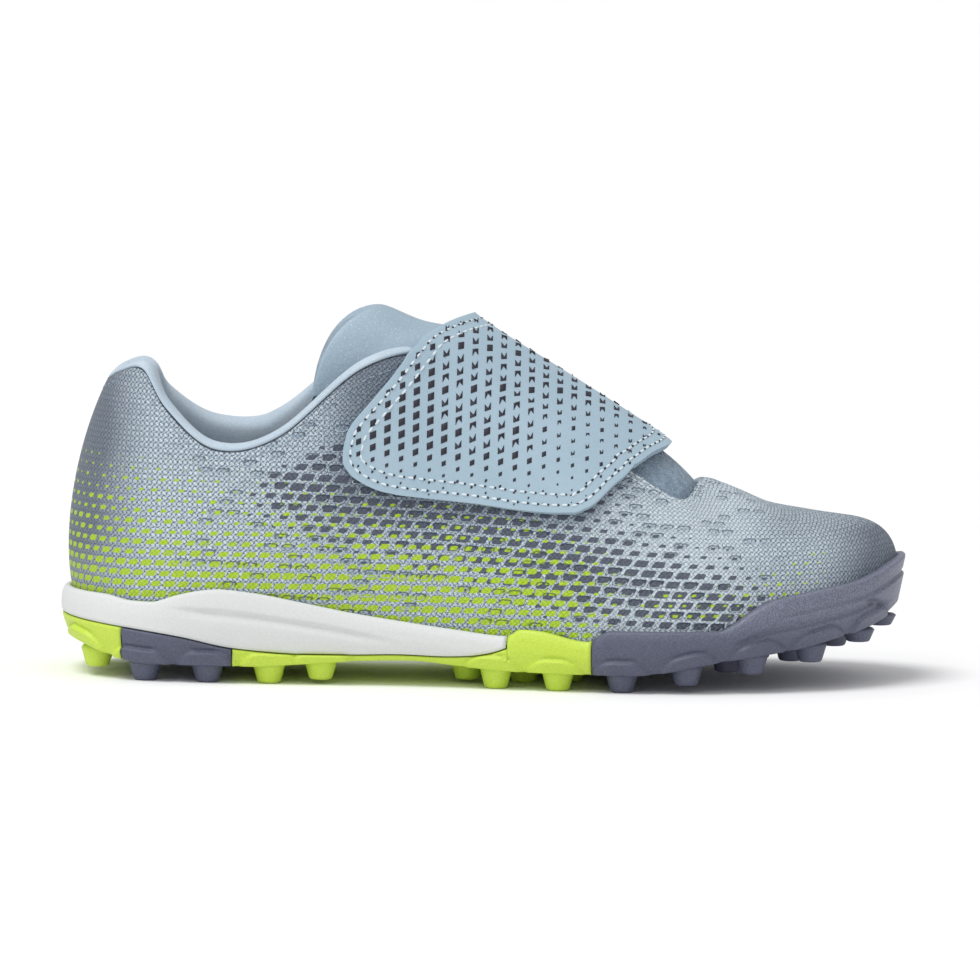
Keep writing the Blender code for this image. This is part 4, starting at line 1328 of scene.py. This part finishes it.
def tongue(at, count=16):
    value = {key: curve(TONGUE_ROWS, key, at, "row") for key in TONGUE_ROWS}
    crown = np.array((value["crown_x"] * LONG, 1.5, value["crown_z"] * TALL))
    top, low = [], []
    for k in range(-count, count + 1):
        side = -1 if k < 0 else 1
        t = abs(k) / count
        free = np.array((value["side_x"] * LONG, side * value["side_y"] + 0.8, value["side_z"] * TALL))
        tucked = offset(value["station"], side, value["under"], -WALL - GAP - 0.5 - value["deep"])
        edge = free + (tucked - free) * value["buried"]
        lip = offset(value["station"], side, 1.0, -WALL - GAP - 1.1 - value["deep"])
        sweep = crown + (edge - crown) * np.array((0.86, 1.0, 0.05))
        sweep = sweep + (lip - sweep) * value["buried"]
        half = abs(edge[1] - crown[1]) * 0.5
        start = crown + np.array((0, side * half, -2.4 * value["deep"]))
        p = bezier((crown, start, sweep, edge), t)
        thick = value["thick"] * (1 - 0.5 * t * t)
        inside = np.array((crown[0] - 8, 0.8, crown[2] - 32))
        n = (p - inside) / np.linalg.norm(p - inside)
        top.append(p)
        low.append(p - n * thick)
    ends = [(top[-1] * 0.7 + low[-1] * 0.3), (top[-1] * 0.3 + low[-1] * 0.7)]
    begins = [(top[0] * 0.3 + low[0] * 0.7), (top[0] * 0.7 + low[0] * 0.3)]
    return top + ends + low[::-1] + begins


print("points in a section:", len(tongue(4.0)))

# %% [markdown]
# A small Bevel rounds the rim that the closed ends would leave sharp.

# %% Tongue
starts = [0, 0.04, 0.12]
rows = [tongue(s) for s in np.concatenate([starts, np.linspace(0.25, 8, 60)])]
tongue_pad = mesh_of("tongue_padding", rows, SHIMMER_CLOTH, around=True, caps=True)
round_off = tongue_pad.modifiers.new("round", "BEVEL")
round_off.width, round_off.segments = 0.9 * MM, 3
round_off.limit_method, round_off.angle_limit = "ANGLE", math.radians(50)
keep(tongue_pad, "tongue")
print("tongue rows:", len(rows))

# %% [markdown]
# ## Insole
# The insole closes the shoe underfoot. It hardly shows, so it is one plain loft with a rounded
# upper edge that keeps clear of the upper's wall.

# %% Insole
def sock(station, side):
    clear = RIM + GAP + TOE_IN + WALL + GAP
    p = outline(station, side) + inward(station, side) * (clear + 0.4)
    inner = outline(station, side) + inward(station, side) * (clear + 1.2)
    bed = height(BED, p[0]) + GAP
    profile = ((p, bed), (p, bed + INSOLE * 0.7), (inner, bed + INSOLE))
    return [np.array((x, y, z)) for (x, y), z in profile]


rows = [both(sock, s) for s in spread(-HALF, HALF, 2.2)]
insole = mesh_of("insole_sock", rows, SOCK_CLOTH, around=True, caps=True)
keep(insole, "insole")
print("insole rows:", len(rows))

# %% [markdown]
# ## Strap
# The strap is a suede-like cloth: matt, with a fine nap and soft clouds where it has been
# stroked. Two noises of different size give that, the fine one also as a very low bump.

# %% Suede of the strap
def suede():
    cloth = Finish("pale_suede", 0.85, specular=0.25, sheen=0.08)
    where = cloth.place()
    nap = cloth.noise(where, 1700.0, 3.0, 0.65)
    soft = cloth.noise(where, 50.0, 3.0, 0.6)
    blue = cloth.mix(soft, ink(142, 166, 182), ink(166, 187, 201))
    cloth.colour(cloth.mix(cloth.math("MULTIPLY", nap, 0.35), blue, ink(190, 210, 222)))
    cloth.normal(cloth.bump(nap, 0.06))
    return cloth.material


SUEDE_LOOK = suede()
print("strap finish:", SUEDE_LOOK.name)

# %% [markdown]
# The strap runs from its free end on the outer side, over the instep, to its sewn end on the
# inner side. Each row of the table is one line across it: how high it lies on the upper, and the
# stations of its rear and front edge. It lies on the same surface as everything else, so it
# follows the shoe, with a small rise where it crosses the padded collar.

# %% Rows of the strap
STRAP_ROWS = {
    "row":   [0, 0.12, 0.3, 0.6, 1, 2, 3, 4, 5, 6, 7, 8, 9, 10, 11],
    "v":     [0.52, 0.545, 0.585, 0.64, 0.70, 0.80, 0.87, 0.94, 1.02, 1.40, 2.00, 2.60, 3.00, 3.25, 3.50],
    "tilt":  [0.04, 0.04, 0.028, 0.015, 0.006, -0.01, 0, 0.01, 0.01, 0, 0, 0, 0, 0, 0],
    "sag":   [0.058, 0.057, 0.055, 0.049, 0.040, 0.020, 0.008, 0, 0, 0, 0, 0, 0, 0, 0],
    "rear":  [6.20, 6.02, 5.86, 5.73, 5.67, 5.74, 6.04, 6.36, 6.60, 6.86, 6.90, 7.04, 7.04, 6.96, 6.90],
    "front": [8.17, 8.26, 8.35, 8.45, 8.55, 8.70, 8.85, 8.98, 9.08, 9.35, 9.70, 9.45, 9.20, 9.00, 8.90],
}


def on_shell(station, v, distance):
    return offset(station, -1, v, distance) if v <= 2 else offset(station, 1, 4 - v, distance)


def ride_up(station, v):
    """How much higher the strap lies where it crosses the padded collar, mm."""
    across = min(v, 4 - v)
    return 1.1 * math.exp(-((station - 6.6) / 0.35) ** 2 - ((across - 1.05) / 0.16) ** 2)


print("strap rows in the table:", len(STRAP_ROWS["row"]))

# %% [markdown]
# The strap is first a thin sheet. Solidify gives it its thickness on both sides of that sheet,
# and Bevel takes the sharpness off its cut edges. It is laid directly and not simulated: it is
# pulled tight, and a remesh would lose its thin edge. The rows lie closer together near the free
# end, whose corners are round.

# %% Strap
ACROSS, ALONG = 61, 132
near_end = np.linspace(0, 1, 40) ** 1.6
ats = np.concatenate([near_end, np.linspace(1, 11, ALONG - 39)[1:]])
middle_of_strap = np.zeros((len(ats), ACROSS, 3))
for i, at in enumerate(ats):
    value = {key: curve(STRAP_ROWS, key, at, "row") for key in STRAP_ROWS}
    for j, t in enumerate(np.linspace(0, 1, ACROSS)):
        station = value["rear"] + (value["front"] - value["rear"]) * t
        v = value["v"] + value["tilt"] * t - value["sag"] * 4 * t * (1 - t)
        middle_of_strap[i, j] = on_shell(station, v, GAP + STRAP / 2 + ride_up(station, v))
band = mesh_of("strap_band", middle_of_strap, SUEDE_LOOK)
if sum(f.normal.z * f.area for f in band.data.polygons) < 0:
    band.data.flip_normals()
thick = band.modifiers.new("thick", "SOLIDIFY")
thick.thickness, thick.offset, thick.use_even_offset = STRAP * MM, 0, True
soft_edge = band.modifiers.new("soft_edge", "BEVEL")
soft_edge.width, soft_edge.segments = 0.6 * MM, 3
soft_edge.limit_method, soft_edge.angle_limit = "ANGLE", math.radians(50)
keep(band, "strap")
print("strap rows:", len(ats))

# %% [markdown]
# Marks and stitches are placed on a flat map of the strap: Q runs along the shoe and P up the
# strap. For any Q and P the nearest point of the sheet is found, and a short step on the sheet
# makes it exact. `edge_path` is the strap's edge on that map: down the front, along the free end
# and up the rear.

# %% Flat map of the strap
def climbed(steps):
    """A height map of the strap from the steps between its rows, mm."""
    return middle_of_strap[:1, :, 2] + np.concatenate([np.zeros((1, ACROSS)), np.cumsum(steps, axis=0)])


d_along = np.linalg.norm(np.diff(middle_of_strap[:, :, 1:], axis=0), axis=2)
Q, P = middle_of_strap[:, :, 0], climbed(d_along)
d_i, d_j = np.gradient(middle_of_strap, axis=0), np.gradient(middle_of_strap, axis=1)
Q_i, Q_j = np.gradient(Q, axis=0), np.gradient(Q, axis=1)
P_i, P_j = np.gradient(P, axis=0), np.gradient(P, axis=1)
normals = np.cross(d_j, d_i)
normals /= np.linalg.norm(normals, axis=2, keepdims=True) + 1e-12
if normals[60, 30, 1] * middle_of_strap[60, 30, 1] < 0 and normals[60, 30, 2] < 0:
    normals = -normals
edge_path = [(Q[i, -1], P[i, -1]) for i in range(len(ats) - 1, 0, -1)]
edge_path += [(Q[0, j], P[0, j]) for j in range(ACROSS - 1, -1, -1)]
edge_path += [(Q[i, 0], P[i, 0]) for i in range(1, len(ats))]
edge_path = np.array(edge_path)


def from_edge(q, p):
    return float(np.min(np.hypot(edge_path[:, 0] - q, edge_path[:, 1] - p)))


print("strap map:", np.round((Q.min(), Q.max(), P.min(), P.max()), 1))

# %% [markdown]
# The print on the strap is drawn longer towards the crown of the instep, so that its rows look
# even from the side. A second height map measures that: the height as it is seen from the side,
# but never less than a fixed share of the surface.

# %% The print's own map
LEAST_SEEN = 0.42
rise_seen = np.diff(middle_of_strap[:, :, 2], axis=0) * math.cos(elevation)
rise_seen += np.diff(middle_of_strap[:, :, 1], axis=0) * math.sin(elevation)
DRAWN = climbed(np.maximum(rise_seen, LEAST_SEEN * d_along))
drawn_i, drawn_j = np.gradient(DRAWN, axis=0), np.gradient(DRAWN, axis=1)


def print_place(q, w):
    """Point, normal, place on the flat map and stretch of the print for a place in the drawing."""
    i, j = np.unravel_index(np.argmin((Q - q) ** 2 + (DRAWN - w) ** 2), Q.shape)
    jac = np.array([[Q_i[i, j], Q_j[i, j]], [drawn_i[i, j], drawn_j[i, j]]])
    if i in (0, len(ats) - 1) or j in (0, ACROSS - 1) or abs(np.linalg.det(jac)) < 1e-9:
        return None
    di, dj = np.linalg.solve(jac, np.array((q - Q[i, j], w - DRAWN[i, j])))
    if abs(di) > 2.0 or abs(dj) > 2.0:
        return None
    n = normals[i, j]
    spot = middle_of_strap[i, j] + d_i[i, j] * di + d_j[i, j] * dj + n * (STRAP / 2 + 0.05)
    up_strap = d_i[i, j] * Q_j[i, j] - d_j[i, j] * Q_i[i, j]
    stretch = np.linalg.norm(up_strap) / abs(np.linalg.det(jac))
    return spot, n, P[i, j] + P_i[i, j] * di + P_j[i, j] * dj, min(max(stretch, 0.8), 2.4)


print("print on the strap, mm:", round(float(np.ptp(DRAWN)), 1))

# %% [markdown]
# The marks are small slanting lozenges, some with a notch. Each is a thin plate that lies on the
# strap, as a thick printing ink does, and it is modelled because the print is bold and crisp. The
# dark finish is that of a thread: a colour with a fine change of tone.

# %% Plates for the marks
def thread(name, colour):
    cloth = Finish(name, 0.6, specular=0.4)
    twist = cloth.noise(cloth.place(), 2600.0, 1.0)
    cloth.colour(cloth.mix(twist, tuple(c * 0.8 for c in colour), colour))
    return cloth.material


DARK_MARK = thread("dark_mark", ink(44, 42, 54))


def flat_shape(name, corners, deep):
    """A thin plate from corner points in mm."""
    form = bmesh.new()
    top = [form.verts.new(Vector((x, y, deep)) * MM) for x, y in corners]
    low = [form.verts.new(Vector((x * 1.05, y * 1.05, -deep)) * MM) for x, y in corners]
    form.faces.new(top)
    for k in range(len(top)):
        j = (k + 1) % len(top)
        form.faces.new((low[k], low[j], top[j], top[k]))
    bmesh.ops.recalc_face_normals(form, faces=form.faces)
    mesh = bpy.data.meshes.new(name)
    form.to_mesh(mesh)
    form.free()
    shape = piece_of(name, mesh, DARK_MARK)
    shape.hide_render = True
    return shape


SIDE, TALL_HALF, SLANT = 0.80, 0.90, 0.42
lift = SIDE * SLANT
corners = [(-SIDE, -TALL_HALF - lift), (SIDE, -TALL_HALF + lift),
           (SIDE, TALL_HALF + lift), (-SIDE, TALL_HALF - lift)]
lozenge = flat_shape("lozenge", corners, 0.06)
notched = flat_shape("notched", corners[:3] + [(.05, -.30), corners[3]], 0.06)
print("corners of a notched mark:", len(corners) + 1)

# %% [markdown]
# The marks stand in even columns whose rows shift from one to the next. They shrink towards the
# free end and the front, and a fixed rule picks which are notched. The tree of the studs sets
# them out.

# %% Marks on the strap
COLUMN, ROW, SHIFT = 3.52, 3.02, 1.66     # spacing of the print, mm


def frame_at(n, flip=False):
    """Euler angles of a frame whose z is n and whose y points up the strap, or down it."""
    z = Vector(n)
    x = (Vector((1, 0, 0)) - z * z.x) * (-1 if flip else 1)
    x.normalize()
    return Matrix((x, z.cross(x), z)).transposed().to_euler()


def mark_size(q, w, edge):
    whole = float(ease(w, 50 - 0.10 * q, 60 - 0.05 * q))
    small = float(ease(q, 6, 18)) * float(1 - ease(w, 66, 73))
    return (0.34 + 0.60 * whole) * (1 - 0.42 * small) * (0.62 + 0.38 * float(ease(edge, 1.5, 5.0)))


plain_spots, notched_spots = [], []
for i in range(-14, 16):
    for j in range(-30, 80):
        q, w = COLUMN * i, ROW * j + SHIFT * i
        found = print_place(q, w)
        if found is None or from_edge(q, found[2]) < 1.0:
            continue
        spot, n, p, stretch = found
        size = mark_size(q, w, from_edge(q, p))
        front_part = float(ease(q + 0.30 * (w - 62), -14, -4)) * float(ease(w, 56, 60))
        is_notched = front_part > 0.5 and (i + 2 * j) % 7
        turn = frame_at(n, flip=is_notched and (i + j) % 3 == 0)
        (notched_spots if is_notched else plain_spots).append((spot, turn, (size, size * stretch, 1)))
keep(set_out("strap_marks", plain_spots, lozenge, DARK_MARK), None)
keep(set_out("strap_notched_marks", notched_spots, notched, DARK_MARK), None)
for shape in (lozenge, notched):
    bpy.data.objects.remove(shape)
print("marks:", len(plain_spots), len(notched_spots))

# %% [markdown]
# ## Stitches
# A seam is a row of short threads with small gaps between them. A second small tree makes it: the
# path becomes a curve, is divided evenly, a stretched ball stands on every point and is turned
# along the path. Copies of a whole seam would not follow a bent edge, and a texture would be
# flat.

# %% A tree that sews along a path
def sewing_tree(name):
    tree = bpy.data.node_groups.new(name, "GeometryNodeTree")
    face = tree.interface
    face.new_socket("Path", in_out="INPUT", socket_type="NodeSocketGeometry")
    for key, value in (("Pitch", 0.0022), ("Length", 0.0015), ("Radius", 0.00026)):
        face.new_socket(key, in_out="INPUT", socket_type="NodeSocketFloat").default_value = value
    face.new_socket("Finish", in_out="INPUT", socket_type="NodeSocketMaterial")
    face.new_socket("Stitches", in_out="OUTPUT", socket_type="NodeSocketGeometry")
    start, end = tree.nodes.new("NodeGroupInput"), tree.nodes.new("NodeGroupOutput")
    to_curve = tree.nodes.new("GeometryNodeMeshToCurve")
    even = tree.nodes.new("GeometryNodeResampleCurve")
    even.mode = "LENGTH"
    ball = tree.nodes.new("GeometryNodeMeshUVSphere")
    ball.inputs["Segments"].default_value, ball.inputs["Rings"].default_value = 6, 4
    ball.inputs["Radius"].default_value = 1.0
    put = tree.nodes.new("GeometryNodeInstanceOnPoints")
    tangent = tree.nodes.new("GeometryNodeInputTangent")
    turn = tree.nodes.new("FunctionNodeAlignRotationToVector")
    turn.axis = "Z"
    half, size = tree.nodes.new("ShaderNodeMath"), tree.nodes.new("ShaderNodeCombineXYZ")
    half.operation = "MULTIPLY"
    half.inputs[1].default_value = 0.5
    real = tree.nodes.new("GeometryNodeRealizeInstances")
    coat = tree.nodes.new("GeometryNodeSetMaterial")
    link = tree.links.new
    link(start.outputs["Path"], to_curve.inputs["Mesh"])
    link(to_curve.outputs["Curve"], even.inputs["Curve"])
    link(start.outputs["Pitch"], even.inputs["Length"])
    link(even.outputs["Curve"], put.inputs["Points"])
    link(ball.outputs["Mesh"], put.inputs["Instance"])
    link(tangent.outputs["Tangent"], turn.inputs["Vector"])
    link(turn.outputs["Rotation"], put.inputs["Rotation"])
    link(start.outputs["Length"], half.inputs[0])
    link(start.outputs["Radius"], size.inputs["X"])
    link(start.outputs["Radius"], size.inputs["Y"])
    link(half.outputs[0], size.inputs["Z"])
    link(size.outputs[0], put.inputs["Scale"])
    link(put.outputs["Instances"], real.inputs["Geometry"])
    link(real.outputs["Geometry"], coat.inputs["Geometry"])
    link(start.outputs["Finish"], coat.inputs["Material"])
    link(coat.outputs["Geometry"], end.inputs["Stitches"])
    return tree


SEWING = sewing_tree("sew_along_path")
print("nodes in the tree:", len(SEWING.nodes))

# %% [markdown]
# `sew` turns paths of points into one piece of stitches. Pitch, length and thickness are in
# millimetres and fill the tree's named inputs.

# %% From paths to stitches
PALE_THREAD = thread("pale_thread", ink(222, 234, 240))
BLUE_THREAD = thread("blue_thread", ink(150, 172, 190))


def sew(name, paths, look, pitch=2.2, long=1.5, thick=0.24):
    mesh = bpy.data.meshes.new(name)
    verts, edges = [], []
    for path in paths:
        first = len(verts)
        verts += [tuple(np.asarray(p) * MM) for p in path]
        edges += [(first + k, first + k + 1) for k in range(len(path) - 1)]
    mesh.from_pydata(verts, edges, [])
    carrier = bpy.data.objects.new(name, mesh)
    scene.collection.objects.link(carrier)
    nodes = carrier.modifiers.new("sew", "NODES")
    nodes.node_group = SEWING
    fill_inputs(nodes, SEWING, Pitch=pitch * MM, Length=long * MM, Radius=thick * MM, Finish=look)
    return keep(made_real(carrier, name, look), None)


print("threads:", PALE_THREAD.name, BLUE_THREAD.name)

# %% [markdown]
# Two rows of pale stitches follow the strap's edge. The edge is moved inwards on the flat map,
# where the strap lies to the right of the path, and each point is then found on the strap's top
# face. In the gaps between the stitches the thread dips into small holes, and short dark pieces
# there are their painted shade.

# %% Seams of the strap
def on_strap(q, p, lift):
    """Point on the strap's top face, or None off the strap."""
    i, j = np.unravel_index(np.argmin((Q - q) ** 2 + (P - p) ** 2), Q.shape)
    jac = np.array([[Q_i[i, j], Q_j[i, j]], [P_i[i, j], P_j[i, j]]])
    if abs(np.linalg.det(jac)) < 1e-9:
        return None
    di, dj = np.linalg.solve(jac, np.array((q - Q[i, j], p - P[i, j])))
    if abs(di) > 1.2 or abs(dj) > 1.2:
        return None
    top = normals[i, j] * (STRAP / 2 + lift)
    return middle_of_strap[i, j] + d_i[i, j] * di + d_j[i, j] * dj + top


def inset_path(distance):
    """The strap's edge, moved inwards on its flat map."""
    path = edge_path[::2]
    tangent = np.gradient(path, axis=0)
    tangent /= np.linalg.norm(tangent, axis=1, keepdims=True) + 1e-9
    inner = path + np.stack([tangent[:, 1], -tangent[:, 0]], axis=1) * distance
    kept = [q for q in inner if from_edge(*q) > distance * 0.93]
    found = [on_strap(q, p, 0.02) for q, p in kept]
    return [f for f in found if f is not None]


PITCH = 2.5
strap_rows = [inset_path(1.9), inset_path(4.6)]
sew("strap_stitches", strap_rows, PALE_THREAD, PITCH, 1.9, 0.34)
# short dark pieces in the needle holes between the stitches: painted shade
hole_shade = []
for row in strap_rows:
    way = np.concatenate([[0], np.cumsum(np.linalg.norm(np.diff(row, axis=0), axis=1))])
    along = np.arange(PITCH / 2, way[-1], 0.5)
    hole_shade.append(np.stack([np.interp(along, way, np.array(row)[:, k]) for k in range(3)], axis=1))
sew("strap_stitch_holes", hole_shade, DARK_MARK, PITCH, 1.0, 0.30)
print("points of the strap's seams:", [len(r) for r in strap_rows])

# %% [markdown]
# The collar is sewn down just under the upper's edge with a blue thread, and the throat has two
# paler rows. Both follow the outer surface, so the paths need only stations and a height share.

# %% Seams of the collar and the throat
collar_path = [offset(s, d, 0.955, 0.05) for s, d in both_ways(6.3, 0.0, 80)]
sew("collar_stitches", [collar_path], BLUE_THREAD, 2.2, 1.6, 0.16)
throat = [(s, -1) for s in np.linspace(7.0, 11.0, 60)]
throat += [(s, 1) for s in np.linspace(11.0, 7.0, 60)[1:]]
throat_paths = [[offset(s, d, v, 0.05) for s, d in throat] for v in (0.975, 0.935)]
sew("throat_stitches", throat_paths, PALE_THREAD, 2.0, 1.5, 0.2)
print("seam paths:", 1 + len(throat_paths))

# %% [markdown]
# ## Floor and light
# A wide flat pale floor runs out of the picture and looks the same from every side. It isn't part
# of the shoe.

# %% Floor
REACH = 12.0
corners = [(-REACH, -REACH, 0), (REACH, -REACH, 0), (REACH, REACH, 0), (-REACH, REACH, 0)]
floor_mesh = bpy.data.meshes.new("floor")
floor_mesh.from_pydata(corners, [], [(0, 1, 2, 3)])
paper = Finish("pale_floor", 0.9, specular=0.1)
paper.colour((0.94, 0.94, 0.945))
floor = piece_of("floor", floor_mesh, paper.material)
print("floor:", 2 * REACH, "m wide")

# %% [markdown]
# A broad sun from above, one soft lamp in front and a bright surround give the even light of a
# studio. A sun is as bright far off as near by, so the floor stays white up to the picture's
# edge, where a lamp alone would leave it grey.

# %% Light
def aim(thing, place, at):
    thing.location = place
    thing.rotation_euler = (Vector(at) - Vector(place)).to_track_quat("-Z", "Y").to_euler()
    scene.collection.objects.link(thing)


sun = bpy.data.lights.new("soft_sun", "SUN")
sun.energy, sun.angle = 1.65, math.radians(30)
aim(bpy.data.objects.new("soft_sun", sun), (-0.35, -0.30, 1.0), (0, 0, 0))
glow = bpy.data.lights.new("glow", "AREA")
glow.shape, glow.size, glow.energy = "DISK", 0.7, 3
aim(bpy.data.objects.new("glow", glow), (-0.5, -1.3, 0.9), (0, 0, 0.04))
world = bpy.data.worlds.new("surround")
world.use_nodes = True
surround = world.node_tree.nodes["Background"]
surround.inputs["Color"].default_value = (1, 1, 1, 1)
surround.inputs["Strength"].default_value = 0.60
scene.world = world
scene.view_settings.view_transform = "Standard"
